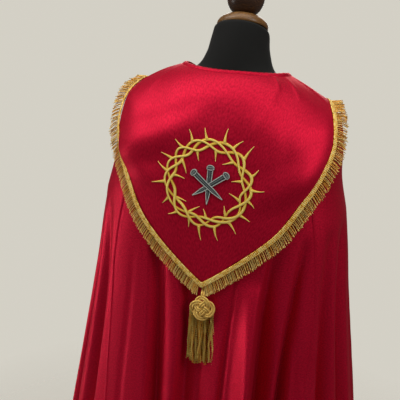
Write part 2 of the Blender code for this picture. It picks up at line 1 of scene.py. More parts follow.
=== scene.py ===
"""Looks of a cope, the long open cloak of a priest, hung on a limbless dress form.

Metres, +Z up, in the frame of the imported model. The wearer faces -Y and the wearer's left is
+X. Every cloth piece comes from one garment surface: a point of it is reached by its angle
round the body (0 at the middle of the back, positive towards the wearer's left) and by its
way down from the neckline.
"""
from collections import namedtuple

import bmesh
import bpy
import numpy as np
from mathutils import Matrix, Vector
from numpy import cos, linspace, pi, radians, sin


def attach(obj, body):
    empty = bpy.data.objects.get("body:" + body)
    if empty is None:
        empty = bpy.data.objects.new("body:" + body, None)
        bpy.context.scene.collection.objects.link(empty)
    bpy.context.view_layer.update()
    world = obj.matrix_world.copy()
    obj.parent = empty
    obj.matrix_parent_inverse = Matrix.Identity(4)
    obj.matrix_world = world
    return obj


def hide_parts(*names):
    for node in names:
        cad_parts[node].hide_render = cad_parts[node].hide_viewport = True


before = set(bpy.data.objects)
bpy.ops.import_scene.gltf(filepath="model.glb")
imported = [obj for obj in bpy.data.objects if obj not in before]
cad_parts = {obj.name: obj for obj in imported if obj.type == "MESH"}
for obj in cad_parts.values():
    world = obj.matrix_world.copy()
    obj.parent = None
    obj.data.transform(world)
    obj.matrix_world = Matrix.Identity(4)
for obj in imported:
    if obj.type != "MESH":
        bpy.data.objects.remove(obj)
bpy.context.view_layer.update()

# ---- driving dimensions

CLOTH = 0.0019              # wall of the cope's panels
HOOD_WALL = 0.0022
SEAM_GAP = 0.0004
REST_GAP = 0.0003           # between pieces that rest on each other
PANEL_GAP = 0.0003
LIP_RISE = 0.0015           # along seams and turned edges
LIP_WIDTH = 0.0018
HEM_WIDTH = 0.0255          # from the hem to its row of stitches
STITCH_DEPTH = 0.0007
STITCH_HALF_WIDTH = 0.0011
HEM_TURN = 0.03
SHOULDER_DOWN = 0.34        # the panels' rows lie closer above this, and at the hem
PANEL_ROWS = (46, 96)       # above it and below
PANEL_COLUMNS = 130
PANEL_WIDTH = 0.30          # taken for the columns along the panels' edges
HEM_ROWS = np.array((0.027, HEM_WIDTH, 0.024, 0.018, 0.010, 0.004, 0.0015, 0.0))
LIP_COLUMNS = np.array((0.0, 0.0010, 0.0022, 0.0036, 0.006))
BAND_WIDTH = 0.011          # neck binding
BAND_WALL = 0.0046
BAND_CROWN = 0.0011
BAND_STITCH_DEPTH = 0.0012
BAND_STITCH_AT = 0.80       # as a share of its width
BAND_PUCKER = 0.0030
BAND_PUCKER_ANGLE = -1.20
CLOTH_TOP = BAND_WIDTH + SEAM_GAP
Seam = namedtuple("Seam", "angle half_width")
LEFT_SEAM = Seam(radians(46), 0.209)
RIGHT_SEAM = Seam(radians(51), 0.231)
FRONT_HALF_GAPS = (0.048, 0.070)    # at the neck and at the hem
RIGHT_DROP = 0.020          # the wearer's right shoulder hangs lower
DROP_REACH = 0.22
DROP_HEIGHTS = (1.00, 1.40)

# The garment's outline: where its back, side and front lie at each level.
Station = namedtuple("Station",
                     "back_y back_z side_x side_z front_y front_z round_power back_power")
STATIONS = [Station(*row) for row in (
    (0.080, 1.500, 0.109, 1.509, -0.098, 1.452, 2.00, 2.00),   # neckline
    (0.103, 1.483, 0.140, 1.495, -0.122, 1.425, 2.00, 2.00),
    (0.127, 1.455, 0.175, 1.479, -0.142, 1.395, 2.05, 2.05),
    (0.146, 1.415, 0.208, 1.461, -0.156, 1.355, 2.15, 2.25),
    (0.160, 1.370, 0.232, 1.436, -0.166, 1.310, 2.20, 2.60),   # point of the shoulder
    (0.171, 1.310, 0.245, 1.385, -0.174, 1.250, 2.20, 2.90),
    (0.179, 1.240, 0.251, 1.310, -0.180, 1.180, 2.15, 3.00),
    (0.186, 1.150, 0.274, 1.210, -0.186, 1.100, 2.10, 3.00),
    (0.200, 1.000, 0.297, 1.040, -0.200, 0.960, 2.10, 2.80),   # waist
    (0.225, 0.800, 0.334, 0.820, -0.225, 0.780, 2.10, 2.50),
    (0.260, 0.500, 0.390, 0.500, -0.260, 0.490, 2.10, 2.25),
    (0.305, 0.110, 0.450, 0.110, -0.305, 0.110, 2.10, 2.10),   # hem
)]

# Hanging folds: troughs between rounded ridges, with their angle under the hood and at the
# hem, their width on the wearer's left and right of the bottom, and their depth at the hem.
Fold = namedtuple("Fold", "high_deg low_deg left_width right_width depth")
FOLDS = [Fold(*row) for row in (
    (23.2, 10.9, 0.018, 0.050, 0.075),
    (6.5, 3.0, 0.018, 0.085, 0.070),
    (-13.8, -6.5, 0.010, 0.012, 0.020),
    (-29.2, -16.0, 0.015, 0.050, 0.095),
    (-46.0, -23.0, 0.022, 0.027, 0.080),
    (57, 44, 0.040, 0.034, 0.045),
    (75, 65, 0.030, 0.055, 0.070),
    (93, 88, 0.055, 0.040, 0.075),
    (111, 110, 0.035, 0.060, 0.070),
    (129, 131, 0.030, 0.055, 0.075),
    (147, 151, 0.036, 0.045, 0.050),
    (-64, -48, 0.035, 0.040, 0.065),
    (-78, -67, 0.055, 0.030, 0.075),
    (-95, -90, 0.040, 0.060, 0.070),
    (-113, -112, 0.060, 0.035, 0.075),
    (-131, -133, 0.055, 0.040, 0.070),
    (-149, -153, 0.045, 0.036, 0.050),
)]
FOLD_START = 0.36
FOLD_TURN_LENGTH = 0.40
FOLD_RISE = 0.6
FOLD_ROUND = 0.12           # how round a trough's bottom is

# Creases, soft and uneven: each runs from a top to a foot on the cloth. Its rise is positive
# for a ridge and negative for a trough. The first, a broad ridge below the hood, has a width
# of its own on the wearer's right of its crest.
Crease = namedtuple("Crease", "top_deg top_down foot_deg foot_down half_width rise right_width",
                    defaults=(None,))
COPE_CREASES = [Crease(*row) for row in (
    (-22.0, 0.440, -14.2, 1.36, 0.046, 0.050, 0.020),
    (17.2, 0.40, 12.5, 0.80, 0.006, -0.0055),
    (33, 0.40, 24, 1.30, 0.016, -0.0030),
    (-1, 0.52, -2, 1.38, 0.010, -0.0035),
    (-19, 0.44, -20, 0.95, 0.014, 0.0025),
    (-42, 0.38, -36, 1.10, 0.014, -0.0040),
    (66, 0.40, 56, 1.20, 0.015, -0.0045),
    (84, 0.42, 79, 1.38, 0.014, -0.0050),
    (102, 0.36, 100, 1.15, 0.014, 0.0040),
    (120, 0.30, 121, 1.30, 0.013, -0.0040),
    (138, 0.25, 141, 1.00, 0.012, -0.0045),
    (-57, 0.42, -43, 1.35, 0.014, -0.0045),
    (-88, 0.40, -80, 1.12, 0.014, 0.0040),
    (-104, 0.36, -101, 1.36, 0.014, -0.0050),
    (-122, 0.30, -123, 1.05, 0.013, -0.0040),
    (-140, 0.24, -143, 1.28, 0.012, 0.0035),
)]
HOOD_CREASES = [Crease(*row) for row in (
    (-50, 0.004, -40, 0.060, 0.007, 0.0016),      # pucker at the end of the neckline
    (-66, 0.006, -52, 0.085, 0.012, 0.0016),
    (-44, 0.030, -14, 0.150, 0.016, 0.0014),
    (-86, 0.012, -78, 0.110, 0.013, 0.0018),
    (64, 0.010, 52, 0.110, 0.013, 0.0008),
    (84, 0.012, 74, 0.120, 0.013, 0.0018),
    (100, 0.014, 92, 0.120, 0.012, 0.0020),
    (37, 0.090, 29, 0.310, 0.034, -0.0008),
    (-30, 0.080, -20, 0.330, 0.034, 0.0020),
    (12, 0.200, 3, 0.430, 0.022, 0.0014),
    (-112, 0.014, -104, 0.110, 0.011, 0.0022),
    (124, 0.010, 120, 0.080, 0.010, 0.0016),
)]
CREASE_SWELL = 0.7          # how soon a crease stands out

# Soft waves that lie across the hood, from a start to an end angle.
Sag = namedtuple("Sag", "start_deg end_deg start_down end_down half_height rise")
HOOD_SAGS = [Sag(*row) for row in (
    (80, 0, 0.312, 0.106, 0.054, 0.0098),
    (56, 10, 0.248, 0.262, 0.036, 0.0030),
    (-62, -12, 0.215, 0.262, 0.055, 0.0072),
)]
SAG_SWELL = 1.2

# Slight unevenness of the hood: waves that run at different headings over its flat.
Rumple = namedtuple("Rumple", "heading_deg length phase rise")
RUMPLES = [Rumple(*row) for row in (
    (38, 0.118, 0.6, 0.00040),
    (-47, 0.096, 2.1, 0.00035),
    (12, 0.083, 4.0, 0.00022),
    (-74, 0.071, 1.2, 0.00022),
    (61, 0.053, 5.2, 0.00012),
)]
RUMPLE_REACH = 0.22
RUMPLE_FADE = (0.03, 0.11)

# The hood's lower edge: how far down it lies under each angle, in degrees, of the neckline.
HOOD_EDGE = ((0, 0.446), (10, 0.406), (20, 0.369), (31, 0.331), (42.5, 0.284), (50, 0.256),
             (56.5, 0.224), (60, 0.207), (62.5, 0.190), (64, 0.172), (66, 0.152), (70, 0.132),
             (75, 0.115), (85, 0.100), (100, 0.090), (120, 0.072), (140, 0.045))
HOOD_END = radians(140)
HOOD_COLUMNS = 221
HOOD_ROWS = (40, 70)        # in the hood's upper share and below
HOOD_UPPER_SHARE = 0.30
HOOD_LIFT_TOP = 0.0009
HOOD_LIFT = 0.0032
HOOD_LIFT_LENGTH = 0.05

# Braid and fringe.
BRAID = 0.009
BRAID_WALL = 0.0014
BRAID_PITCH = 0.0036        # from one stitch of the braid to the next
BRAID_RELIEF = 0.0011
BRAID_ROWS = 4
BRAID_STEPS = 5             # rows of points in each stitch
BRAID_COLUMNS = 13
BRAID_MITRE = 0.008
STRAND_LENGTH = 0.023
STRAND_RADIUS = 0.00085
STRAND_PITCH = 0.0029
STRAND_SAG = 0.60
STRAND_STEPS = 15
STRAND_ROOT = 0.80          # where strands leave the braid, as a share of its width
STRAND_TWIST = 0.0042       # length of one turn
STRAND_BUNDLE = 0.0045      # from one bundle of strands to the next
TIP_REACH = 0.020           # extra strands that fill the mitre at the hood's tip
TIP_PITCH = 0.0013
TIP_SAG = 4.0
STRAND_LIFT = 1.30
LIFT_ANGLES_DEG = (35, 130)
TIP_GAP = 0.0002

# Cord loop, knot and tassel.
CORD_RADIUS = 0.002
CORD_PLIES = 3
PLY_DEPTH = 0.26
CORD_TWIST = 0.0075         # length of one turn
CORD_SIDES = 12
LOOP_HALF_WIDTH = 0.0022
LOOP_LENGTH = 0.014
LOOP_TOP = 0.006            # over the tassel frame's origin
LOOP_TUCK = 0.004           # how far its ends run into the knot
LOOP_SINK = 0.0085          # how much closer to the cloth its bend is than its ends
KNOT_RADIUS = 0.0275
KNOT_DROP = LOOP_LENGTH + REST_GAP + KNOT_RADIUS    # from the loop's top to its middle
KNOT_LIFT = 0.0167
KNOT_CORD = 0.0024
KNOT_TWIST = 0.0082
KNOT_LEADS = 3
KNOT_BIGHTS = 4
KNOT_HOLE = 0.0050
KNOT_WEAVE = 0.0031         # how far the cord runs over and under itself
KNOT_DOME = 0.0030
SKIRT_DROP = 0.002
SKIRT_LENGTH = 0.128
SKIRT_HALF_WIDTH = 0.0260
SKIRT_HALF_DEPTH = 0.0036
SKIRT_LIFT = 0.0053
SKIRT_SPREAD = 1.07
SKIRT_THICKENING = 2.0
SKIRT_THREADS = 126
SKIRT_CLUMPS = 14
SKIRT_STRAY_FROM = 0.972    # of draws from 0 to 1
SKIRT_RAGGED = 0.012        # by how much single threads end higher, and whole waves of them
SKIRT_SCALLOP = 0.006
SKIRT_STEPS = 26
THREAD_RADIUS = 0.0013
THREAD_SIDES = 5
THREAD_TWIST = 0.009
TASSEL_LEAN = radians(3)
TASSEL_OFFSET = -0.0038

# Tab over the chest.
TAB_HALF_ANGLE = radians(27)
TAB_DOWN = (0.125, 0.185)
TAB_WALL = 0.003
TAB_LIFT = 0.0014
TAB_HALF_WIDTH = 0.08
TAB_STITCH_DEPTH = 0.0008
TAB_STITCH_INSET = 0.006

# Embroidered emblem on the hood: a crown of thorns round three nails.
EMBLEM_X = 0.0052
EMBLEM_DOWN = 0.2398
EMBLEM_SQUASH = 0.97        # the crown is a little wider than high
CROWN_RADIUS = 0.079
CROWN_SWING = 0.0095        # how far each strand swings in and out
CROWN_TURNS = 5
CROWN_STRANDS = 3
CROWN_HALF_WIDTH = 0.0027
CROWN_LEVELS = (0.0007, 0.0017)     # under and over the other strands
STITCH_RISE = 0.0011
OUTER_THORNS = 19
INNER_THORNS = 11
THORN_LENGTHS = (0.019, 0.032)
THORN_STEPS = 16
THORN_ROOT = 0.0031         # half width at its root, added to that at its point
THORN_POINT = 0.0006
THORN_SEED = 35
# Each nail's head and point, right of and above the emblem's middle.
NAILS = (((0.0037, 0.0342), (0.0021, -0.0416)),
         ((0.0359, 0.0229), (-0.0285, -0.0264)),
         ((-0.0280, 0.0213), (0.0333, -0.0270)))
NAIL_HALF_WIDTH = 0.0050
NAIL_HEAD_WIDE = 0.0074
NAIL_HEAD_HIGH = 0.0060
NAIL_OUTLINE = 0.00115

# Dress form and stand. Each ring of the form: height, half width, half depth, centre in Y and
# tilt in degrees.
FORM_RINGS = (
    (0.800, 0.160, 0.112, 0.000, 0),
    (0.812, 0.172, 0.122, 0.000, 0),
    (0.880, 0.178, 0.126, 0.000, 0),
    (0.960, 0.164, 0.116, 0.000, 0),
    (1.060, 0.138, 0.102, 0.000, 0),
    (1.160, 0.146, 0.110, 0.000, 0),
    (1.270, 0.174, 0.122, 0.000, 0),
    (1.360, 0.193, 0.120, 0.000, 0),
    (1.420, 0.197, 0.103, 0.000, 0),
    (1.456, 0.187, 0.082, 0.006, 0),
    (1.476, 0.163, 0.069, 0.008, 0),
    (1.492, 0.118, 0.059, 0.003, 2),
    (1.506, 0.086, 0.062, -0.006, 5),
    (1.535, 0.070, 0.064, -0.018, 12),
    (1.578, 0.0615, 0.0605, -0.030, 16),
    (1.587, 0.0570, 0.0565, -0.0326, 16),
)
FORM_FOOT = FORM_RINGS[0][0]
FORM_ROWS = 150
NECK_SLACK = 0.0008         # shallow creases of the cover, which begin at this ring
NECK_RING = 12.5
NECK_TILT = radians(16)
NECK_TOP = (0.0, -0.0326, 1.587)
DISC_RADIUS = 0.0565
DISC_HEIGHT = 0.027
DISC_TOP_RADIUS = 0.018
DISC_EDGE = 0.004
BALL_RADIUS = 0.0415
BALL_FOOT = 0.0015
POLE_RADIUS = 0.016
POLE_BEVEL = 0.0015
BASE_RADIUS = 0.190
BASE_HEIGHT = 0.014
BASE_ROUND = 0.005
SHARP_ANGLE = radians(50)

# Camera: a close-up of the hood, from behind and a little above.
CAMERA_LENS_MM = 48.6
CAMERA_AZIMUTH = radians(194.1)
CAMERA_ELEVATION = radians(16.1)
CAMERA_DISTANCE = 1.219
CAMERA_TARGET = (0.051, 0.050, 1.212)
CAMERA_ROLL = radians(3.46)

random = np.random.default_rng(7)


# ---- the garment surface

def between(first, last, share):
    return first + (last - first) * share


def share_from(low, high, value):
    """How far a value lies on the way from low to high, held to 0 and 1."""
    return np.clip((value - low) / (high - low), 0, 1)


def smooth_step(t):
    t = np.clip(t, 0.0, 1.0)
    return t * t * (3 - 2 * t)


def hump(offset):
    """A round wave: 1 in its middle, falling to 0 at -1 and 1."""
    return (1 + cos(pi * np.clip(offset, -1, 1))) / 2


def bell(offset):
    return np.exp(-offset ** 2)


def unit(vectors):
    return vectors / np.linalg.norm(vectors, axis=-1, keepdims=True)


def way_along(points, axis=0):
    """The way along lines of points, from 0 at their first."""
    lengths = np.linalg.norm(np.diff(points, axis=axis), axis=-1)
    start = np.zeros_like(lengths.take([0], axis))
    return np.concatenate((start, np.cumsum(lengths, axis=axis)), axis=axis)


def curve_through(marks, values, x):
    """Smooth curve through rows of values at marks, read at x."""
    marks, values = np.asarray(marks, float), np.asarray(values, float)
    index = np.arange(len(marks))
    before, after = np.maximum(index - 1, 0), np.minimum(index + 1, len(marks) - 1)
    slopes = (values[after] - values[before]) / (marks[after] - marks[before])[:, None]
    x = np.clip(x, marks[0], marks[-1])
    i = np.clip(np.searchsorted(marks, x, side="right") - 1, 0, len(marks) - 2)
    span = (marks[i + 1] - marks[i])[..., None]
    t = (x - marks[i])[..., None] / span
    return ((2 * t**3 - 3 * t**2 + 1) * values[i] + (t**3 - 2 * t**2 + t) * span * slopes[i]
            + (3 * t**2 - 2 * t**3) * values[i + 1] + (t**3 - t**2) * span * slopes[i + 1])


# Way down from the neckline to each station, as the mean of back, side and front.
DEPTHS = way_along(np.array(STATIONS)[:, :6].reshape(-1, 3, 2)).mean(axis=1)
HEM = DEPTHS[-1]


def section(down):
    """The outline at each level, as a Station of arrays."""
    values = curve_through(DEPTHS, STATIONS, np.asarray(down, float))
    return Station(*np.moveaxis(values, -1, 0))


def right_drop(x, z):
    return (RIGHT_DROP * smooth_step(-x / DROP_REACH)
            * smooth_step(share_from(*DROP_HEIGHTS, z)))


def smooth_point(angle, down):
    """Points of the garment surface before its folds."""
    angle, down = np.broadcast_arrays(np.asarray(angle, float), np.asarray(down, float))
    ring = section(down)
    cosine, sine = cos(angle), sin(angle)
    share = np.abs(sine) ** (2 / ring.round_power)
    back = cosine > 0
    x = ring.side_x * np.sign(sine) * share
    y = np.where(back,
                 ring.back_y * (1 - share ** ring.back_power) ** (1 / ring.back_power),
                 ring.front_y * np.abs(cosine) ** (2 / ring.round_power))
    z = ring.side_z * sine**2 + np.where(back, ring.back_z, ring.front_z) * cosine**2
    return np.stack((x, y, z - right_drop(x, z)), axis=-1)


def outward(angle, down):
    """Unit normals of the smooth surface, away from the body."""
    step = 0.004
    across = smooth_point(angle + step, down) - smooth_point(angle - step, down)
    along = (smooth_point(angle, np.minimum(down + step, HEM))
             - smooth_point(angle, np.maximum(down - step, 0.0)))
    return unit(np.cross(across, along))


def trough(offset):
    """A fold's depth, from 1 at its bottom to 0 at the ridge beside it, as shares of both."""
    rounded = np.hypot(offset, FOLD_ROUND) - FOLD_ROUND
    return 1 - sin(pi / 2 * rounded / (np.hypot(1, FOLD_ROUND) - FOLD_ROUND))


def fold_depth(angle, down):
    """How deep the troughs are at each point of the cloth."""
    fall = np.maximum(down - FOLD_START, 0.0)
    share = (fall / (HEM - FOLD_START)) ** FOLD_RISE
    turn = np.exp(-fall / FOLD_TURN_LENGTH)
    girth = section(down).side_x
    depth = 0.0
    for fold in FOLDS:
        middle = radians(between(fold.low_deg, fold.high_deg, turn))
        offset = (angle - middle) * girth
        width = np.where(offset > 0, fold.left_width, fold.right_width)
        depth += fold.depth * share * trough(np.minimum(np.abs(offset) / width, 1))
    return depth


def crease_rise(angle, down, creases):
    """How far the creases lift the cloth at each point."""
    girth = section(down).side_x
    rise = 0.0
    for crease in creases:
        t = share_from(crease.top_down, crease.foot_down, down)
        middle = radians(between(crease.top_deg, crease.foot_deg, t))
        offset = (angle - middle) * girth
        width = np.where(offset > 0, crease.half_width,
                         crease.right_width or crease.half_width)
        rise += crease.rise * hump(offset / width) * sin(pi * t) ** CREASE_SWELL
    return rise


def hood_rise(angle, down):
    """How far creases, soft waves and a slight unevenness lift the hood at each point."""
    rise = crease_rise(angle, down, HOOD_CREASES)
    for sag in HOOD_SAGS:
        t = share_from(sag.start_deg, sag.end_deg, np.degrees(angle))
        offset = (down - between(sag.start_down, sag.end_down, t)) / sag.half_height
        rise = rise + sag.rise * hump(offset) * sin(pi * t) ** SAG_SWELL
    fade = share_from(*RUMPLE_FADE, down)
    for wave in RUMPLES:
        heading = radians(wave.heading_deg)
        way = angle * RUMPLE_REACH * cos(heading) + down * sin(heading)
        rise = rise + fade * wave.rise * sin(2 * pi * way / wave.length + wave.phase)
    return rise


def raised_point(angle, down, out):
    """Points at a distance out from the smooth surface."""
    return smooth_point(angle, down) + outward(angle, down) * np.asarray(out)[..., None]


def cope_point(angle, down, out):
    """Points at a distance out from the folded cope."""
    rise = crease_rise(angle, down, COPE_CREASES) - fold_depth(angle, down)
    return raised_point(angle, down, out + rise)


def angle_at_width(half_width, down):
    """Angle of the back surface at a distance to the side of its middle."""
    ring = section(down)
    return np.arcsin(np.minimum(half_width / ring.side_x, 1.0) ** (ring.round_power / 2))


def seam_angle(down, seam):
    """Angle of a back seam, upright below the hood."""
    return np.minimum(seam.angle, angle_at_width(seam.half_width, down))


def front_angle(down):
    """Angle of the open front edge."""
    return pi - angle_at_width(between(*FRONT_HALF_GAPS, down / HEM), down)


def column_angle(start, down):
    """Angle, at each level, of the column of cloth that starts at an angle of the neckline."""
    left = start >= 0
    seam_top = np.where(left, LEFT_SEAM.angle, RIGHT_SEAM.angle)
    seam = np.where(left, seam_angle(down, LEFT_SEAM), seam_angle(down, RIGHT_SEAM))
    share = (np.abs(start) - seam_top) / (front_angle(0.0) - seam_top)
    beyond = np.where(left, 1, -1) * between(seam, front_angle(down), share)
    return np.where(np.abs(start) <= seam_top, start * seam / seam_top, beyond)


def hood_edge(start):
    """Way down to the hood's edge, on a smooth curve through the marks of one side."""
    marks = np.array(HOOD_EDGE)
    return curve_through(marks[:, 0], marks[:, 1:], np.abs(np.degrees(start)))[..., 0]


def hood_point(angle, down, out=0.0):
    """Points at a distance out from the hood, which bridges the cope's folds."""
    lift = between(HOOD_LIFT_TOP, HOOD_LIFT, smooth_step(down / HOOD_LIFT_LENGTH))
    return raised_point(angle, down, lift + HOOD_WALL + hood_rise(angle, down) + out)


# ---- making meshes

def new_object(name, data):
    thing = bpy.data.objects.new(name, data)
    bpy.context.scene.collection.objects.link(thing)
    return thing


def new_piece(name, material, slot, points, faces, tone=None, uv=None, replaces=None):
    """A piece that rides with the one body, from its points and faces."""
    mesh = bpy.data.meshes.new(name)
    mesh.from_pydata(np.asarray(points).reshape(-1, 3).tolist(), [], faces)
    mesh.update()
    mesh.shade_smooth()
    if uv is not None:
        corner = np.empty(len(mesh.loops), dtype=np.int32)
        mesh.loops.foreach_get("vertex_index", corner)
        layer = mesh.uv_layers.new(name="cloth")
        layer.data.foreach_set("uv", np.asarray(uv, float).reshape(-1, 2)[corner].ravel())
    if tone is not None:
        layer = mesh.attributes.new("tone", "FLOAT", "POINT")
        layer.data.foreach_set("value", np.asarray(tone, float).ravel())
    mesh.materials.append(material)
    thing = new_object(name, mesh)
    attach(thing, "root")
    if replaces:
        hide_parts(replaces)
    return thing


def ring_angles(sides):
    return 2 * pi * np.arange(sides) / sides


def grid_faces(rows, columns, closed_rows=False, closed_columns=False):
    """Quads of a grid of points that is stored row by row."""
    i, j = np.meshgrid(np.arange(rows if closed_rows else rows - 1),
                       np.arange(columns if closed_columns else columns - 1), indexing="ij")
    below, right = (i + 1) % rows, (j + 1) % columns
    quads = np.stack((i * columns + j, below * columns + j,
                      below * columns + right, i * columns + right), axis=-1)
    return quads.reshape(-1, 4).tolist()


def turned_over(faces):
    return [face[::-1] for face in faces]


def thicken(thing, wall):
    """Give an open surface a wall behind its outer face."""
    solidify = thing.modifiers.new("wall", "SOLIDIFY")
    solidify.thickness = wall
    solidify.offset = -1


def cloth_sheet(node, place, across, down, wall, material):
    """A cloth piece whose points are place(across, down), with its weave's coordinates."""
    points = place(*np.meshgrid(across, down))
    u = way_along(points, 1)
    u -= u.mean(axis=1, keepdims=True)
    v = way_along(points, 0).mean(axis=1)
    uv = np.stack((u, np.broadcast_to(-v[:, None], u.shape)), axis=-1)
    faces = grid_faces(len(down), len(across))
    first = points[0, 0]
    normal = np.cross(points[1, 0] - first, points[1, 1] - first)
    if normal @ outward(np.arctan2(first[0], first[1]), 0.1) < 0:
        faces = turned_over(faces)
    thing = new_piece(node + "_cloth", material, "satin", points, faces, uv=uv,
                      replaces=node)
    thicken(thing, wall)
    return thing


def tubes(paths, outs, width, depth, sides, twist=0.0, phase=0.0, plied=False, closed=False):
    """Points and faces of many tubes at once.

    paths has the shape (tubes, points, 3). The cross-section is width by depth, turned about
    the path by twist (radians a metre) from its phase. A plied tube is a cord, with grooves
    that turn instead.
    """
    count, steps = paths.shape[:2]
    tangent = unit(np.roll(paths, -1, axis=1) - np.roll(paths, 1, axis=1) if closed
                   else np.gradient(paths, axis=1))
    side = unit(np.cross(tangent, outs))
    front = np.cross(side, tangent)
    turn = (way_along(paths, 1) * twist + np.reshape(phase, (-1, 1)))[..., None]
    around = ring_angles(sides)
    groove = 1.0
    if plied:
        wave = np.abs(cos(CORD_PLIES / 2 * (around - turn)))
        groove = 1 - PLY_DEPTH + PLY_DEPTH * wave
        turn = turn * 0
    x = np.broadcast_to(width, (count, steps))[..., None] * groove * cos(around)
    y = np.broadcast_to(depth, (count, steps))[..., None] * groove * sin(around)
    points = (paths[:, :, None]
              + side[:, :, None] * (x * cos(turn) - y * sin(turn))[..., None]
              + front[:, :, None] * (x * sin(turn) + y * cos(turn))[..., None])
    size = steps * sides
    one = np.array(grid_faces(steps, sides, closed_rows=closed, closed_columns=True))
    faces = (one[None] + np.arange(count)[:, None, None] * size).reshape(-1, 4).tolist()
    if not closed:
        for start in range(0, count * size, size):
            end = start + size
            faces += [list(range(start, start + sides)), list(range(end - sides, end))[::-1]]
    return points.reshape(-1, 3), faces


def join_meshes(parts):
    """One mesh from several: points, faces, and what else each part holds for its points."""
    points, faces, *others = zip(*parts)
    joined = []
    total = 0
    for own_points, own_faces in zip(points, faces):
        joined += [[index + total for index in face] for face in own_faces]
        total += len(own_points)
    return np.concatenate(points), joined, *(np.concatenate(other) for other in others)


def placed(points, matrix):
    matrix = np.array(matrix)
    return points @ matrix[:3, :3].T + matrix[:3, 3]


def turned(node, suffix, profile, sides, material, slot, place=Matrix()):
    """A turned solid from its profile, from the axis at the top to the axis below."""
    profile = np.array(profile)
    radius, height = profile[1:-1, :1], profile[1:-1, 1:]
    around = ring_angles(sides)
    ring = np.stack((radius * cos(around), radius * sin(around),
                     height + 0 * around), axis=-1)
    faces = grid_faces(len(radius), sides, closed_columns=True)
    top = ring.size // 3
    last = top - sides
    points = np.concatenate((ring.reshape(-1, 3),
                             [(0, 0, profile[0, 1]), (0, 0, profile[-1, 1])]))
    for j in range(sides):
        k = (j + 1) % sides
        faces += [[top, j, k], [top + 1, last + k, last + j]]
    thing = new_piece(node + suffix, material, slot, placed(points, place), faces,
                      replaces=node)
    thing.data.set_sharp_from_angle(angle=SHARP_ANGLE)


# ---- materials

class Nodes:
    """Short ways to add and link the nodes of one material or world."""

    def __init__(self, name, blocks=bpy.data.materials, shader="Principled BSDF"):
        self.block = blocks.new(name)
        self.block.use_nodes = True
        self.tree = self.block.node_tree
        self.shader = self.tree.nodes[shader]

    def feed(self, target, value):
        """Link an output to a socket, or set the socket's own value."""
        if isinstance(value, bpy.types.NodeSocket):
            self.tree.links.new(value, target)
        elif target.type == "RGBA":
            target.default_value = (*value[:3], 1.0)
        else:
            target.default_value = value

    def add(self, kind, inputs, **settings):
        node = self.tree.nodes.new("ShaderNode" + kind)
        for key, value in settings.items():
            setattr(node, key, value)
        for key, value in inputs.items():
            self.feed(node.inputs[key], value)
        return node

    def coordinates(self, scale, kind="UV"):
        source = (self.add("UVMap", {}, uv_map="cloth") if kind == "UV"
                  else self.add("TexCoord", {}))
        return self.add("Mapping", {"Vector": source.outputs[kind], "Scale": scale}).outputs[0]

    def noise(self, scale, detail, kind="UV"):
        return self.add("TexNoise", {"Vector": self.coordinates(scale, kind), "Scale": 1.0,
                                     "Detail": detail}).outputs["Fac"]

    def tone(self):
        return self.add("Attribute", {}, attribute_name="tone").outputs["Fac"]

    def ramp(self, value, *stops):
        node = self.add("ValToRGB", {"Fac": value})
        marks = node.color_ramp.elements
        while len(marks) < len(stops):
            marks.new(0.5)
        for mark, (position, colour) in zip(marks, stops):
            mark.position = position
            mark.color = (*colour, 1.0)
        return node.outputs["Color"]

    def mix(self, share, first, second):
        return self.add("Mix", {0: share, 6: first, 7: second}, data_type="RGBA").outputs[2]

    def scaled(self, value, factor, added=0.0):
        return self.add("Math", {0: value, 1: factor, 2: added},
                        operation="MULTIPLY_ADD").outputs[0]

    def set(self, **values):
        for key, value in values.items():
            self.feed(self.shader.inputs[key.replace("_", " ")], value)

    def surface(self, colour, rough, bump, **values):
        """The material, with rough as (pattern, low, high), bump as (pattern, distance,
        strength), and the shader's plain values."""
        pattern, low, high = rough
        spread = self.add("MapRange", {"Value": pattern, "To Min": low, "To Max": high})
        height, distance, strength = bump
        relief = self.add("Bump", {"Height": height, "Distance": distance,
                                   "Strength": strength})
        self.set(Base_Color=colour, Roughness=spread.outputs[0], Normal=relief.outputs[0],
                 **values)
        return self.block


SATIN_DEEP = (0.60, 0.0065, 0.034)
SATIN_LIGHT = (0.74, 0.0120, 0.052)
SATIN_SLUB = (0.30, 0.002, 0.012)
SATIN_GRAIN = (0.24, 0.002, 0.012)


def satin(name):
    """Red satin: floats of bright thread along the length, with a coloured gloss."""
    nodes = Nodes(name)
    floats = nodes.noise((3200, 520, 1), 2)
    slub = nodes.noise((900, 14, 1), 3)
    tint = nodes.mix(nodes.noise((14, 5, 1), 4), SATIN_DEEP, SATIN_LIGHT)
    tint = nodes.mix(nodes.scaled(slub, 0.16), tint, SATIN_SLUB)
    mottle = nodes.scaled(nodes.noise((250, 350, 1), 2), 1.5, -0.53)
    tint = nodes.mix(mottle, tint, SATIN_GRAIN)
    relief = nodes.scaled(floats, 0.7, nodes.scaled(slub, 0.5))
    return nodes.surface(tint, (floats, 0.40, 0.50), (relief, 0.00012, 0.8),
                         Metallic=0.5, Sheen_Weight=0.06, Sheen_Roughness=0.35,
                         Sheen_Tint=(1.0, 0.08, 0.18), Specular_IOR_Level=0.35,
                         Specular_Tint=(1.0, 0.16, 0.26))


def metal_thread(name, dark, middle, light, metallic, stitches):
    """Metallic thread: its tone attribute runs from painted shade in the gaps and grooves to
    bright loops and plies, and differs at random from thread to thread.
    """
    nodes = Nodes(name)
    grain = nodes.noise((stitches,) * 3, 2, "Object")
    # Low tone is painted shade, high tone the lit loops, mixed with a random grain.
    blend = nodes.scaled(nodes.tone(), 0.75, nodes.scaled(grain, 0.30))
    return nodes.surface(nodes.ramp(blend, (0.12, dark), (0.50, middle), (0.92, light)),
                         (grain, 0.34, 0.55), (grain, 0.0002, 0.7), Metallic=metallic,
                         Specular_IOR_Level=0.3, Specular_Tint=(1.0, 0.78, 0.40))


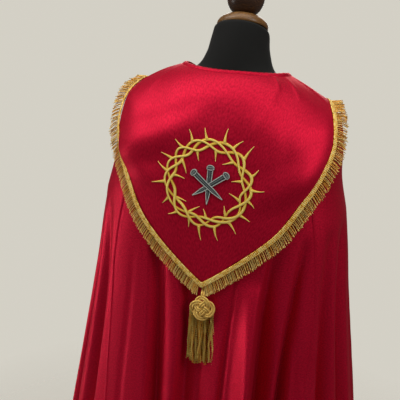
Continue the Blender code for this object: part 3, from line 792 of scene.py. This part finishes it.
def silk_thread(name, edge, middle, light):
    """Embroidery thread: fine stitches across each stroke, with a painted highlight on its
    crown and painted shade towards its edges, which the edge colour carries.
    """
    nodes = Nodes(name)
    stitch = nodes.noise((2600, 160, 1), 2)
    blend = nodes.scaled(nodes.tone(), 0.8, nodes.scaled(stitch, 0.22))
    return nodes.surface(nodes.ramp(blend, (0.10, edge), (0.45, middle), (0.82, light)),
                         (stitch, 0.28, 0.50), (stitch, 0.00025, 0.9),
                         Specular_IOR_Level=0.35, Metallic=0.15)


def jersey():
    """Black knitted cover of the form."""
    nodes = Nodes("form_jersey")
    wear = nodes.noise((8, 8, 5), 4, "Object")
    ribs = nodes.noise((900, 900, 2600), 2, "Object")
    return nodes.surface(nodes.mix(wear, (0.0040, 0.0042, 0.0040), (0.0085, 0.0088, 0.0082)),
                         (wear, 0.80, 0.95), (ribs, 0.0003, 0.6),
                         Sheen_Weight=0.03, Sheen_Roughness=0.5, Specular_IOR_Level=0.25)


def wood(name, dark, middle, light, stretch, gloss):
    """Turned and varnished walnut, with rings and fine pores."""
    nodes = Nodes(name)
    rings = nodes.add("TexWave", {"Vector": nodes.coordinates(stretch, "Object"),
                                  "Scale": 2.4, "Distortion": 7.0, "Detail": 4.0,
                                  "Detail Scale": 1.6},
                      wave_type="RINGS", rings_direction="X").outputs["Fac"]
    pores = nodes.noise((700, 90, 700), 3, "Object")
    blend = nodes.scaled(rings, 0.5, nodes.scaled(nodes.noise(stretch, 4, "Object"), 0.5))
    grain = nodes.ramp(blend, (0.22, dark), (0.52, middle), (0.85, light))
    return nodes.surface(nodes.mix(nodes.scaled(pores, 0.35), grain, dark),
                         (pores, gloss, gloss + 0.16), (pores, 0.0001, 0.4),
                         Coat_Weight=0.18, Coat_Roughness=0.14, Specular_IOR_Level=0.35)


def steel(name):
    """Black powder-coated steel, worn a little."""
    nodes = Nodes(name)
    wear = nodes.noise((9, 9, 4), 5, "Object")
    speck = nodes.noise((420, 420, 420), 2, "Object")
    return nodes.surface(nodes.mix(wear, (0.020, 0.020, 0.022), (0.045, 0.044, 0.044)),
                         (wear, 0.38, 0.62), (speck, 0.0002, 0.35), Metallic=0.5)


# ---- the cope

def make_cope(material):
    """The three panels, parted at the two back seams."""
    down = np.concatenate((linspace(CLOTH_TOP, SHOULDER_DOWN, PANEL_ROWS[0]),
                           linspace(SHOULDER_DOWN, HEM - HEM_TURN, PANEL_ROWS[1])[1:],
                           HEM - HEM_ROWS))
    lip = LIP_COLUMNS / PANEL_WIDTH
    across = np.concatenate((lip, linspace(lip[-1], 1 - lip[-1], PANEL_COLUMNS)[1:-1],
                             1 - lip[::-1]))

    def margin(d):
        return PANEL_GAP / 2 / section(d).side_x

    def panel(a, d, low, high, side=1):
        """Points between two edges: a lip along each, a groove along the hem's stitches."""
        from_edge = np.minimum(a, 1 - a) * (high - low) * section(d).side_x
        groove = STITCH_DEPTH * bell((HEM - HEM_WIDTH - d) / STITCH_HALF_WIDTH)
        rise = LIP_RISE * bell(from_edge / LIP_WIDTH) - groove
        return cope_point(side * between(low, high, a), d, rise)

    def back(a, d):
        return panel(a, d, margin(d) - seam_angle(d, RIGHT_SEAM),
                     seam_angle(d, LEFT_SEAM) - margin(d))

    def front(side, seam):
        return lambda a, d: panel(a, d, seam_angle(d, seam) + margin(d), front_angle(d), side)

    return [cloth_sheet(node, place, across, down, CLOTH, material) for node, place in (
        ("cope_back", back), ("cope_front_left", front(1, LEFT_SEAM)),
        ("cope_front_right", front(-1, RIGHT_SEAM)))]


def make_hood(material):
    """The flat shield that hangs from the neckline."""
    across = linspace(-HOOD_END, HOOD_END, HOOD_COLUMNS)
    share = np.concatenate((linspace(0, HOOD_UPPER_SHARE, HOOD_ROWS[0]),
                            linspace(HOOD_UPPER_SHARE, 1, HOOD_ROWS[1])[1:]))

    def place(start, s):
        down = between(CLOTH_TOP, hood_edge(start), s)
        return hood_point(column_angle(start, down), down)

    return cloth_sheet("hood", place, across, share, HOOD_WALL, material)


def make_binding(material):
    """The band that binds the layers round the neck, with its row of stitches."""
    limit = front_angle(0.0)

    def place(angle, s):
        arch = sin(pi * s)
        stitches = BAND_STITCH_DEPTH * bell((s - BAND_STITCH_AT) / 0.07)
        rise = BAND_CROWN * arch ** 0.5 - stitches
        wave = 0.0004 * sin(angle * 23) * arch + 0.0003 * sin(angle * 57)
        pucker = BAND_PUCKER * bell((angle - BAND_PUCKER_ANGLE) / 0.13) * arch
        out = HOOD_LIFT_TOP + HOOD_WALL + rise + wave + pucker
        return cope_point(angle, BAND_WIDTH * s, out)

    return cloth_sheet("neck_binding", place, linspace(-limit, limit, 260),
                       linspace(0, 1, 15), BAND_WALL, material)


def make_tab(material):
    """The tab over the chest that joins the two fronts."""
    upper, lower = TAB_DOWN

    def place(a, s):
        edge = np.minimum(np.minimum(s, 1 - s) * (lower - upper),
                          (1 - np.abs(a)) * TAB_HALF_WIDTH)
        groove = TAB_STITCH_DEPTH * bell((edge - TAB_STITCH_INSET) / 0.0012)
        angle = pi + TAB_HALF_ANGLE * a
        return cope_point(np.where(angle > pi, angle - 2 * pi, angle),
                          between(upper, lower, s), TAB_LIFT + TAB_WALL - groove)

    return cloth_sheet("clasp_tab", place, linspace(-1, 1, 70), linspace(0, 1, 22),
                       TAB_WALL - 0.0005, material)


# ---- braid and fringe

def edge_point(start):
    """Points of the hood's edge, on its outer face."""
    down = hood_edge(start)
    return raised_point(column_angle(start, down), down, HOOD_LIFT + HOOD_WALL)


def edge_line(side):
    """Fine marks along the hood's edge, from its tip up, and the way to each in metres."""
    starts = linspace(0, HOOD_END, 1200)
    return starts, way_along(edge_point(side * starts))


def edge_frame(start, side):
    """Points of the hood's edge, and the ways along it, off the cloth and outward."""
    step = radians(0.5)
    inner = side * np.maximum(np.abs(start) - step, 0.0)
    outer = side * np.minimum(np.abs(start) + step, HOOD_END)
    along = unit(edge_point(outer) - edge_point(inner))
    down = hood_edge(start)
    normal = outward(column_angle(start, down), down)
    return edge_point(start), along, unit(np.cross(normal, along) * side), normal


def make_threads(paths, outs, radius, radii, thin, pitch, flare):
    """Twisted flat threads along paths, each with its own width and turn."""
    width = radius * random.uniform(*radii, (len(paths), 1)) * flare
    return tubes(paths, outs, width * 1.15, width * thin, THREAD_SIDES,
                 twist=2 * pi / pitch, phase=random.uniform(0, 6.3, len(paths)))


def shoulder_share(start):
    """1 on the top of the shoulder, 0 on the flat of the back and of the chest."""
    share = share_from(*LIFT_ANGLES_DEG, np.abs(np.degrees(start)))
    return sin(pi * share) ** 2


def make_braid(side, node, material):
    """Flat gimp braid: rows of slanted stitches, mitred at the hood's tip."""
    starts, way = edge_line(side)
    marks = linspace(-BRAID_MITRE, way[-1], int(way[-1] / BRAID_PITCH * BRAID_STEPS))
    start = np.interp(np.maximum(marks, 0), way, starts) * side
    point, along, across, normal = edge_frame(start, side)
    point = point + along * np.minimum(marks, 0)[:, None]
    width = linspace(SEAM_GAP, BRAID, BRAID_COLUMNS)
    share = (width - SEAM_GAP) / (BRAID - SEAM_GAP)
    row = np.floor(share * BRAID_ROWS * 0.999).astype(int)
    slant = np.where(row % 2 == 0, 0.5, -0.5)
    phase = marks[:, None] / BRAID_PITCH + slant * share * BRAID_ROWS
    loops = np.abs(sin(pi * phase)) ** 0.6
    ridge = np.abs(sin(pi * share * BRAID_ROWS)) ** 0.6
    relief = loops * (0.35 + 0.65 * ridge)
    height = 0.0002 + BRAID_RELIEF * relief + 0.0004 * sin(pi * share)
    points = (point[:, None] + across[:, None] * width[:, None]
              + normal[:, None] * height[..., None])
    inward = np.maximum if side > 0 else np.minimum
    short = inward(TIP_GAP * side - points[..., 0], 0)
    points = points + along[:, None] * (short / along[:, None, 0])[..., None]
    faces = grid_faces(*points.shape[:2])
    stitch = np.floor(phase - phase.min()).astype(int)
    jitter = random.uniform(-0.45, 0.35, (stitch.max() + 1, BRAID_ROWS))[stitch, row]
    # The tone is the stitches' relief: painted shade in the gaps between stitches, lighter on
    # their loops, plus a random jitter for each stitch.
    thing = new_piece(node.replace("fringe", "braid"), material, "gold_trim", points,
                      turned_over(faces) if side > 0 else faces, relief + jitter,
                      replaces=node)
    merge = bmesh.new()
    merge.from_mesh(thing.data)
    bmesh.ops.remove_doubles(merge, verts=merge.verts, dist=2e-5)
    merge.to_mesh(thing.data)
    merge.free()
    thicken(thing, BRAID_WALL)
    return thing


def strand_paths(root, across, normal, start, length, sag, lift, curl):
    """Paths of strands that leave the braid across it and then bend down."""
    down = np.array((0.0, 0.0, -1.0))
    slope = unit(down - normal * (normal @ down)[:, None])
    along = np.cross(normal, across)
    lift = lift * shoulder_share(start)
    way = linspace(0, 1, STRAND_STEPS)
    path = [root]
    for before, after in zip(way, way[1:]):
        t = (before + after) / 2
        heading = unit(across + slope * (sag * (0.4 + 1.2 * t))[:, None]
                       + normal * (lift * (1.2 - 0.4 * t))[:, None]
                       + along * (curl[0] * sin(curl[1] + 5 * t))[:, None])
        path.append(path[-1] + heading * ((after - before) * length)[:, None])
    return np.stack(path, axis=1)


def make_strands(side, node, material):
    """Twisted gold strands in two layers, uneven in length, lean and tone, the lower layer
    darkened with painted shade.
    """
    starts, way = edge_line(side)
    share = linspace(0, 1, STRAND_STEPS)
    taper = (1 - 0.1 * share) * (1 + 0.35 * bell((share - 1) / 0.08))
    parts = []
    for layer, pitch, level, limit in ((0, STRAND_PITCH, -0.0004, way[-1]),
                                       (1, STRAND_PITCH * 0.80, -0.0019, way[-1]),
                                       (0, TIP_PITCH, -0.0012, TIP_REACH)):
        count = int((limit - 0.002) / pitch)
        marks = 0.0014 + (np.arange(count) + random.uniform(-0.3, 0.3, count)) * pitch
        bundle = 0.0006 * sin(marks / STRAND_BUNDLE * 2 * pi)
        marks = np.clip(marks + bundle, 0.0005, way[-1])
        start = np.interp(marks, way, starts) * side
        point, _, across, normal = edge_frame(start, side)
        root = point + across * (BRAID * STRAND_ROOT) + normal * level
        length = (STRAND_LENGTH * random.uniform(0.86, 1.06, count)
                  + BRAID * (1 - STRAND_ROOT))
        sag = STRAND_SAG * random.uniform(0.7, 1.3, count)
        if limit == TIP_REACH:
            sag = sag + TIP_SAG * (1 - marks / TIP_REACH)
        lift = STRAND_LIFT * random.uniform(0.7, 1.1, count)
        curl = (random.normal(0, 0.07, count), random.uniform(0, 6.3, count))
        paths = strand_paths(root, across, normal, start, length, sag, lift, curl)
        mesh = make_threads(paths, normal[:, None], STRAND_RADIUS, (0.85, 1.2), 0.72,
                            STRAND_TWIST, taper)
        # Each strand differs at random; the lower layer is painted darker as painted shade
        # under the upper one, and all get lighter towards their tips.
        shade = random.uniform(0.45, 1.10, (count, 1)) * (1 - 0.75 * layer)
        parts.append((*mesh, np.repeat(shade + 0.30 * share ** 3, THREAD_SIDES)))
    return new_piece(node + "_strands", material, "gold_trim", *join_meshes(parts))


# ---- cord, knot and tassel

OFF_CLOTH = (0.0, 1.0, 0.0)         # in the tassel's frame


def tassel_frame():
    """Matrix whose origin is under the hood's tip, whose -Z runs down the cloth as the
    tassel hangs, and whose +Y points off the cloth."""
    top_down = float(hood_edge(0.0)) + BRAID * 1.5
    low_down = top_down + LOOP_LENGTH + KNOT_RADIUS + SKIRT_LENGTH
    top, low = (Vector(raised_point(0.0, down, -fold_depth(0.0, down)))
                for down in (top_down, low_down))
    along = (low - top).normalized()
    normal = Vector((1, 0, 0)).cross(along).normalized()
    turned_to = Matrix(((1, 0, 0), normal, -along)).transposed().to_4x4()
    return (Matrix.Translation(top + Vector((TASSEL_OFFSET, 0, 0))) @ turned_to
            @ Matrix.Rotation(TASSEL_LEAN, 4, "Y"))


def hang(node, suffix, material, place, points, faces, tone):
    """A gold trim whose points are in the tassel's frame."""
    new_piece(node + suffix, material, "gold_trim", placed(points, place), faces, tone,
              replaces=node)


def rope(path, radius, pitch=CORD_TWIST, closed=False):
    """Points, faces and tone of a cord: painted shade in its grooves, brighter on its plies."""
    points, faces = tubes(path[None], OFF_CLOTH, radius, radius, CORD_SIDES,
                          twist=2 * pi / pitch, plied=True, closed=closed)
    reach = np.linalg.norm(points.reshape(len(path), -1, 3) - path[:, None], axis=-1)
    # Painted shade in the grooves between the plies.
    tone = 0.1 + 0.8 * (reach / radius - 1 + PLY_DEPTH) / PLY_DEPTH
    return points, faces, tone.ravel()


def make_loop(material, place):
    """The doubled cord from the hood's tip to the knot."""
    turn = linspace(0, pi, 14)
    bend_z = LOOP_TOP - CORD_RADIUS - LOOP_HALF_WIDTH
    arc = np.stack((LOOP_HALF_WIDTH * cos(turn), 0 * turn,
                    bend_z + LOOP_HALF_WIDTH * sin(turn)), axis=-1)
    fall = linspace(bend_z, -LOOP_LENGTH - LOOP_TUCK, 18)[1:]
    right = np.stack((0 * fall - LOOP_HALF_WIDTH, 0 * fall, fall), axis=-1)
    path = np.concatenate((right[::-1] * (-1, 1, 1), arc, right))
    path[:, 1] += KNOT_LIFT - LOOP_SINK * smooth_step(path[:, 2] / LOOP_LENGTH + 1)
    hang("tassel_loop", "_cord", material, place, *rope(path, CORD_RADIUS))


def make_knot(material, place):
    """Flat round knot: one doubled cord, laid over and under itself in four bights."""
    t = linspace(0, 2 * pi * KNOT_LEADS, 720, endpoint=False)
    phase = KNOT_BIGHTS * t / KNOT_LEADS
    outer = KNOT_RADIUS - 2 * KNOT_CORD
    radius = (outer + KNOT_HOLE) / 2 + (outer - KNOT_HOLE) / 2 * cos(phase)
    height = (KNOT_WEAVE * sin(2 * phase)
              + KNOT_DOME * (1 - (radius / KNOT_RADIUS) ** 2))
    centre = np.stack((radius * cos(t + pi / 2), height,
                       radius * sin(t + pi / 2)), axis=-1)
    along = unit(np.roll(centre, -1, axis=0) - np.roll(centre, 1, axis=0))
    sideways = unit(np.cross(along, OFF_CLOTH)) * KNOT_CORD * 0.98
    lanes = [rope(centre + sideways * lane, KNOT_CORD, KNOT_TWIST, closed=True)
             for lane in (-1, 1)]
    middle = Matrix.Translation((0, KNOT_LIFT - 0.001, -KNOT_DROP))
    hang("tassel_knot", "_cord", material, place @ middle, *join_meshes(lanes))


def make_skirt(material, place):
    """The tassel's hanging threads, ragged at their ends, with a few that stray."""
    count = SKIRT_THREADS
    clump = np.arange(count) * SKIRT_CLUMPS // count
    share = (clump + 0.5 + random.uniform(-0.45, 0.45, count)) / SKIRT_CLUMPS * 2 - 1
    x = share * SKIRT_HALF_WIDTH * 1.14
    y = (random.uniform(-1, 1, count) * np.sqrt(1 - share**2)) * SKIRT_HALF_DEPTH * 0.85
    length = (SKIRT_LENGTH - random.uniform(0.0, SKIRT_RAGGED, count)
              - SKIRT_SCALLOP * (1 + sin(x * 260 + 1.0)) / 2)
    way = linspace(0, 1, SKIRT_STEPS)
    drift = random.normal(0, 0.0018, count)
    stray = random.uniform(0, 1, count) > SKIRT_STRAY_FROM
    drift = np.where(stray, np.sign(x) * random.uniform(0.006, 0.011, count), drift)
    wave = random.normal(0, 0.0014, (count, 1)) * sin(
        way * random.uniform(8, 18, (count, 1)) + random.uniform(0, 6.3, (count, 1)))
    sway = random.normal(0, 0.0011, SKIRT_CLUMPS)[clump, None] * sin(
        way * 7 + random.uniform(0, 6.3, SKIRT_CLUMPS)[clump, None])
    px = (x[:, None] * (1 + (SKIRT_SPREAD - 1) * way ** 0.8) + drift[:, None] * way**1.5
          + wave + sway)
    py = (y[:, None] + (y + SKIRT_HALF_DEPTH)[:, None] * (SKIRT_THICKENING - 1) * way
          + 0.6 * np.roll(wave, 3, axis=0) + SKIRT_LIFT)
    paths = np.stack((px, py, -length[:, None] * way), axis=-1)
    mesh = make_threads(paths, OFF_CLOTH, THREAD_RADIUS, (0.8, 1.25), 0.75, THREAD_TWIST,
                        1 + 0.5 * bell((way - 1) / 0.03))
    shade = (random.uniform(0.0, 1.40, (count, 1)) + 0.25 * way**8
             + random.uniform(-0.20, 0.20, SKIRT_CLUMPS)[clump, None])
    top = Matrix.Translation((0, 0, -(KNOT_DROP + SKIRT_DROP)))
    hang("tassel_skirt", "_threads", material, place @ top, *mesh,
         np.repeat(shade, THREAD_SIDES))


# ---- embroidery

def emblem_point(right, up, out):
    """Points on the hood and its normals, from a place in the emblem seen from behind."""
    x = EMBLEM_X - right
    down = EMBLEM_DOWN - EMBLEM_SQUASH * up
    angle = np.sign(x) * angle_at_width(np.abs(x), down)
    return hood_point(angle, down, out), outward(angle, down)


def stroke(centre, half_width, rise, shade, glow=0.0, sides=8):
    """A raised stroke of satin stitches: a flat tube along a line of the emblem.

    centre is (points, 2); the others hold one value, or one for each point. Returns points,
    faces, tone (shaded from its edges to its crown, plus glow) and stitch coordinates."""
    values = [np.broadcast_to(value, len(centre)) for value in (half_width, rise, shade, glow)]
    closed = np.allclose(centre[0], centre[-1])
    if closed:
        centre, *values = (value[:-1] for value in (centre, *values))
    half_width, rise, shade, glow = values
    path, normal = emblem_point(centre[:, 0], centre[:, 1], rise)
    mesh = tubes(path[None], normal[None], half_width[None],
                 np.minimum(half_width, STITCH_RISE)[None], sides, closed=closed)
    side = cos(ring_angles(sides))
    # Painted shade towards the stroke's edges and a painted highlight on its crown, times its
    # own shade, plus glow.
    tone = (0.92 - 0.87 * np.abs(side) ** 2.2) * shade[:, None] + glow[:, None]
    v = np.broadcast_to(side * 0.003, tone.shape)
    uv = np.stack((way_along(path)[:, None] + 0.6 * v, v), axis=-1)
    return *mesh, tone.ravel(), uv.reshape(-1, 2)


def round_place(angle):
    return np.stack((cos(angle), sin(angle)), axis=-1)


def crown_radius(turn, strand):
    wander = 0.10 * sin(2 * turn + 1.7 * strand) + 0.07 * sin(3 * turn - strand)
    lag = 2 * pi * strand / CROWN_STRANDS
    return CROWN_RADIUS + CROWN_SWING * sin(CROWN_TURNS * turn + lag + wander * 4)


def make_crown(material):
    """Three strands twisted into a ring, and thorns that leave it outwards and inwards."""
    turn = linspace(0, 2 * pi, 421)
    strokes = []
    for strand in range(CROWN_STRANDS):
        centre = crown_radius(turn, strand)[:, None] * round_place(turn)
        over = cos(CROWN_TURNS * turn + 2 * pi * strand / CROWN_STRANDS)
        width = CROWN_HALF_WIDTH * (1 + 0.16 * sin(4 * turn + strand * 2.1))
        # A strand's tone gets painted shade where it passes under the others.
        strokes.append(stroke(centre, width, between(*CROWN_LEVELS, (1 + over) / 2),
                              0.62 + 0.38 * smooth_step(over + 0.9), sides=10))
    drawn = np.random.default_rng(THORN_SEED)
    t = linspace(0, 1, THORN_STEPS)
    thorns = [(1, i / OUTER_THORNS) for i in range(OUTER_THORNS)]
    thorns += [(-1, (i + 0.4) / INNER_THORNS) for i in range(INNER_THORNS)]
    for index, (side, share) in enumerate(thorns):
        at = 2 * pi * share + drawn.uniform(-0.06, 0.06)
        length = drawn.uniform(*THORN_LENGTHS) * (1.0 if side > 0 else 0.85)
        lean = drawn.uniform(0.15, 0.55) * (1 if index % 3 else -0.6)
        lean = lean + drawn.uniform(-0.5, 0.5) * t
        edge = max if side > 0 else min
        root = edge(crown_radius(at, strand) for strand in range(CROWN_STRANDS))
        heading = at + lean if side > 0 else at + pi - lean
        centre = ((root - 0.001 * side) * round_place(at)
                  + np.cumsum(round_place(heading), axis=0) * length / (THORN_STEPS - 1))
        strokes.append(stroke(centre, THORN_ROOT * (1 - t) ** 1.5 + THORN_POINT,
                              0.0011 - 0.0006 * t, 0.85, 0.25 * t ** 1.5))
    return new_piece("crown_embroidery", material, "gold_trim", *join_meshes(strokes))


def make_nails(material):
    """Three nails that cross: tapered shanks with domed heads, each with a pale outline."""
    t = linspace(0, 1, 40)[:, None]
    width = NAIL_HALF_WIDTH * (1 - 0.35 * t) * np.minimum(1, (1 - t) / 0.30) ** 0.8
    s = linspace(-1, 1, 26)[:, None]
    crest = np.sqrt(np.maximum(1 - s**2, 0.0)) * NAIL_HEAD_HIGH
    strokes = []
    for index, (head, point) in enumerate(np.array(NAILS)):
        along = unit(point - head)
        across = np.array((along[1], -along[0]))
        centre = head + (point - head) * t
        middle = head + across * s * NAIL_HEAD_WIDE
        level = 0.0009 + 0.0011 * index
        for line, half_width, rise, shade in (
                (centre, width[:, 0] + 0.0003, 0.0, 0.22),
                (centre - across * width, NAIL_OUTLINE, 0.0003, 1.0),
                (centre + across * width, NAIL_OUTLINE, 0.0003, 1.0),
                (centre[2:30] + across * 0.0004, NAIL_OUTLINE * 0.6, 0.0011, 0.62),
                (middle, crest[:, 0] + 0.0003, 0.0006, 0.50),
                (middle - along * crest, NAIL_OUTLINE, 0.0011, 1.0),
                (middle + along * 0.55 * crest, NAIL_OUTLINE, 0.0015, 0.95),
                (middle - along * 0.25 * crest, NAIL_OUTLINE * 0.7, 0.0020, 0.75)):
            strokes.append(stroke(line, half_width, level + rise, shade))
    return new_piece("nails_embroidery", material, "grey_thread", *join_meshes(strokes))


# ---- dress form and stand

def make_torso(material):
    """The form's body and neck, on a smooth loft through its rings."""
    fine = linspace(0, len(FORM_RINGS) - 1, FORM_ROWS)
    rings = curve_through(np.arange(len(FORM_RINGS)), FORM_RINGS, fine)
    height, half_width, half_depth, centre_y, tilt = np.moveaxis(rings[..., None], 1, 0)
    sides = 128
    turn = ring_angles(sides)
    fine = fine[:, None]
    slack = NECK_SLACK * smooth_step(fine - NECK_RING)
    fold = slack * sin(turn * 3 + fine * 1.3) * sin(fine * 5)
    y = half_depth * sin(turn)
    z = height + y * np.tan(radians(tilt))
    plain_x = half_width * cos(turn)
    x = plain_x * (1 + fold / half_width)
    points = np.stack((x, centre_y + y, z - right_drop(x, z)), axis=-1)
    foot = list(range(sides))
    top = [points.size // 3 - sides + j for j in foot]
    faces = turned_over(grid_faces(len(fine), sides, closed_columns=True) + [foot]) + [top]
    torso = new_piece("form_torso_cover", material, "form_cover", points, faces,
                      replaces="form_torso")
    torso.data.set_sharp_from_angle(angle=SHARP_ANGLE)


def neck_axis(height):
    """Place on the neck's axis at a height over its top."""
    return (Matrix.Translation(NECK_TOP) @ Matrix.Rotation(NECK_TILT, 4, "X")
            @ Matrix.Translation((0, 0, height)))


def arc(centre, wide, high, start, end, steps):
    """Places on an arc of a profile, from a start to an end angle off the axis."""
    return [(centre[0] + wide * sin(a), centre[1] + high * cos(a))
            for a in linspace(start, end, steps)]


def make_finial(disc_wood, ball_wood):
    """Turned disc and ball on the neck."""
    profile = [(0.0, DISC_HEIGHT),
               *arc((DISC_TOP_RADIUS, DISC_EDGE), DISC_RADIUS - DISC_TOP_RADIUS,
                    DISC_HEIGHT - DISC_EDGE, 0, pi / 2, 24),
               *arc((DISC_RADIUS - DISC_EDGE / 2, DISC_EDGE), DISC_EDGE / 2, DISC_EDGE,
                    pi / 2 + 0.3, pi, 6), (0.0, 0.0)]
    turned("neck_disc", "_wood", profile, 128, disc_wood, "walnut", neck_axis(REST_GAP))
    foot = np.arccos((BALL_RADIUS - BALL_FOOT) / BALL_RADIUS)
    profile = arc((0.0, 0.0), BALL_RADIUS, BALL_RADIUS, 0, pi - foot, 64)
    turned("finial_ball", "_wood", profile + [(0.0, profile[-1][1])], 128, ball_wood, "walnut",
           neck_axis(REST_GAP + DISC_HEIGHT + REST_GAP + BALL_RADIUS - BALL_FOOT))


def make_stand(material):
    """Round foot with a rolled rim, and the pole with bevelled ends."""
    inner = BASE_RADIUS - BASE_ROUND
    step = pi / 17
    profile = [(0.0, BASE_HEIGHT),
               *arc((inner, BASE_HEIGHT - BASE_ROUND), BASE_ROUND, BASE_ROUND, 0, 8 * step, 9),
               *arc((inner, BASE_ROUND), BASE_ROUND, BASE_ROUND, 9 * step, pi, 9),
               (0.0, 0.0)]
    turned("stand_base", "_plate", profile, 160, material, "stand")
    low = BASE_HEIGHT + REST_GAP
    high = FORM_FOOT - REST_GAP
    inner = POLE_RADIUS - POLE_BEVEL
    profile = [(0.0, high), (inner, high), (POLE_RADIUS, high - POLE_BEVEL),
               (POLE_RADIUS, low + POLE_BEVEL), (inner, low), (0.0, low)]
    turned("stand_pole", "_tube", profile, 64, material, "stand")


# ---- camera, floor and light

def make_camera():
    """The camera looks at its target along its -Z, rolled a little."""
    data = bpy.data.cameras.new("camera")
    data.sensor_width = 36.0
    data.lens = CAMERA_LENS_MM
    data.clip_start = 0.05
    camera = new_object("camera", data)
    camera.matrix_world = (Matrix.Translation(CAMERA_TARGET)
                           @ Matrix.Rotation(CAMERA_AZIMUTH, 4, "Z")
                           @ Matrix.Rotation(pi / 2 - CAMERA_ELEVATION, 4, "X")
                           @ Matrix.Rotation(CAMERA_ROLL, 4, "Z")
                           @ Matrix.Translation((0, 0, CAMERA_DISTANCE)))
    bpy.context.scene.camera = camera


def make_floor():
    """Pale floor that fades into the pale backdrop."""
    nodes = Nodes("pale_floor")
    fade = nodes.add("TexGradient", {"Vector": nodes.coordinates((0.2, 0.2, 0.2), "Object")},
                     gradient_type="SPHERICAL").outputs["Fac"]
    nodes.set(Base_Color=(0.80, 0.775, 0.71), Roughness=0.75,
              Alpha=nodes.ramp(fade, (0.70, (0, 0, 0)), (0.89, (1, 1, 1))))
    far = 6.0
    mesh = bpy.data.meshes.new("floor")
    mesh.from_pydata([(-far, -far, 0), (far, -far, 0), (far, far, 0), (-far, far, 0)], [],
                     [(0, 1, 2, 3)])
    mesh.materials.append(nodes.block)
    new_object("floor", mesh)


CHEST = (0.0, 0.0, 1.15)
DAYLIGHT = (1.0, 0.98, 0.95)
WARM = (1.0, 0.97, 0.93)
Lamp = namedtuple("Lamp", "name place size watts colour aim spread_deg", defaults=(CHEST, 180))
LAMPS = (
    Lamp("ceiling", (0.0, 0.4, 3.3), (2.2, 2.2), 26, (1.0, 0.98, 0.94)),
    Lamp("left_window", (1.86, 0.87, 3.2), (1.9, 1.9), 31, DAYLIGHT),
    Lamp("left_low", (2.63, 0.96, 1.9), (0.9, 1.2), 3, DAYLIGHT),
    Lamp("left_counter", (3.7, 0.75, 0.2), (1.8, 1.2), 2.8, DAYLIGHT, (0.0, 0.0, 0.46), 36),
    Lamp("right_window", (-1.92, 1.11, 3.0), (1.2, 1.2), 18, WARM),
    Lamp("right_low", (-2.36, 1.36, 2.14), (1.0, 1.0), 7, WARM),
    Lamp("front_fill", (0.3, -2.6, 2.2), (1.8, 1.8), 30, DAYLIGHT, (0.0, 0.0, 1.1)),
)


def make_lights():
    for lamp in LAMPS:
        data = bpy.data.lights.new(lamp.name, "AREA")
        data.shape = "RECTANGLE"
        data.size, data.size_y = lamp.size
        data.spread = radians(lamp.spread_deg)
        data.energy = lamp.watts
        data.color = lamp.colour
        light = new_object(lamp.name, data)
        light.location = lamp.place
        heading = Vector(lamp.aim) - Vector(lamp.place)
        light.rotation_mode = "QUATERNION"
        light.rotation_quaternion = heading.to_track_quat("-Z", "Y")


def make_world():
    """Pale backdrop for the camera and a dimmer room for the light."""
    nodes = Nodes("room", bpy.data.worlds, "Background")
    nodes.set(Color=(0.66, 0.64, 0.58), Strength=0.16)
    seen = nodes.add("Background", {"Color": (0.655, 0.630, 0.560)}).outputs[0]
    by_camera = nodes.add("LightPath", {}).outputs["Is Camera Ray"]
    mix = nodes.add("MixShader", {0: by_camera, 1: nodes.shader.outputs[0], 2: seen})
    nodes.feed(nodes.tree.nodes["World Output"].inputs["Surface"], mix.outputs[0])
    bpy.context.scene.world = nodes.block


# ---- the whole scene

make_camera()
make_floor()
make_lights()
make_world()
bpy.context.scene.view_settings.view_transform = "Standard"

red = satin("red_satin")
back_cloth, left_cloth, right_cloth = make_cope(red)
hood_cloth = make_hood(red)
binding = make_binding(satin("binding_satin"))
tab = make_tab(red)

braid_gold = metal_thread("braid_gold", (0.15, 0.060, 0.008), (0.98, 0.52, 0.070),
                          (1.00, 0.82, 0.31), 0.35, 500)
strand_gold = metal_thread("strand_gold", (0.12, 0.034, 0.010), (1.00, 0.48, 0.070),
                           (1.00, 0.76, 0.27), 0.35, 700)
tassel_gold = metal_thread("tassel_gold", (0.17, 0.050, 0.010), (1.00, 0.44, 0.045),
                           (1.00, 0.74, 0.20), 0.30, 700)
cord_gold = metal_thread("cord_gold", (0.10, 0.040, 0.008), (0.82, 0.46, 0.070),
                         (1.00, 0.80, 0.31), 0.35, 900)
trims = []
for side, node in ((1, "hood_fringe_left"), (-1, "hood_fringe_right")):
    trims += [make_braid(side, node, braid_gold), make_strands(side, node, strand_gold)]
tassel_place = tassel_frame()
make_loop(cord_gold, tassel_place)
make_knot(cord_gold, tassel_place)
make_skirt(tassel_gold, tassel_place)

trims.append(make_crown(silk_thread("yellow_silk", (0.17, 0.085, 0.006), (0.95, 0.57, 0.045),
                                    (1.00, 0.84, 0.24))))
trims.append(make_nails(silk_thread("grey_silk", (0.022, 0.036, 0.042), (0.14, 0.165, 0.165),
                                    (0.72, 0.75, 0.71))))

make_torso(jersey())
make_finial(wood("disc_walnut", (0.070, 0.028, 0.008), (0.21, 0.095, 0.024),
                 (0.36, 0.180, 0.052), (22, 60, 60), 0.30),
            wood("ball_walnut", (0.018, 0.008, 0.005), (0.060, 0.026, 0.014),
                 (0.120, 0.055, 0.026), (16, 45, 45), 0.24))
make_stand(steel("stand_steel"))
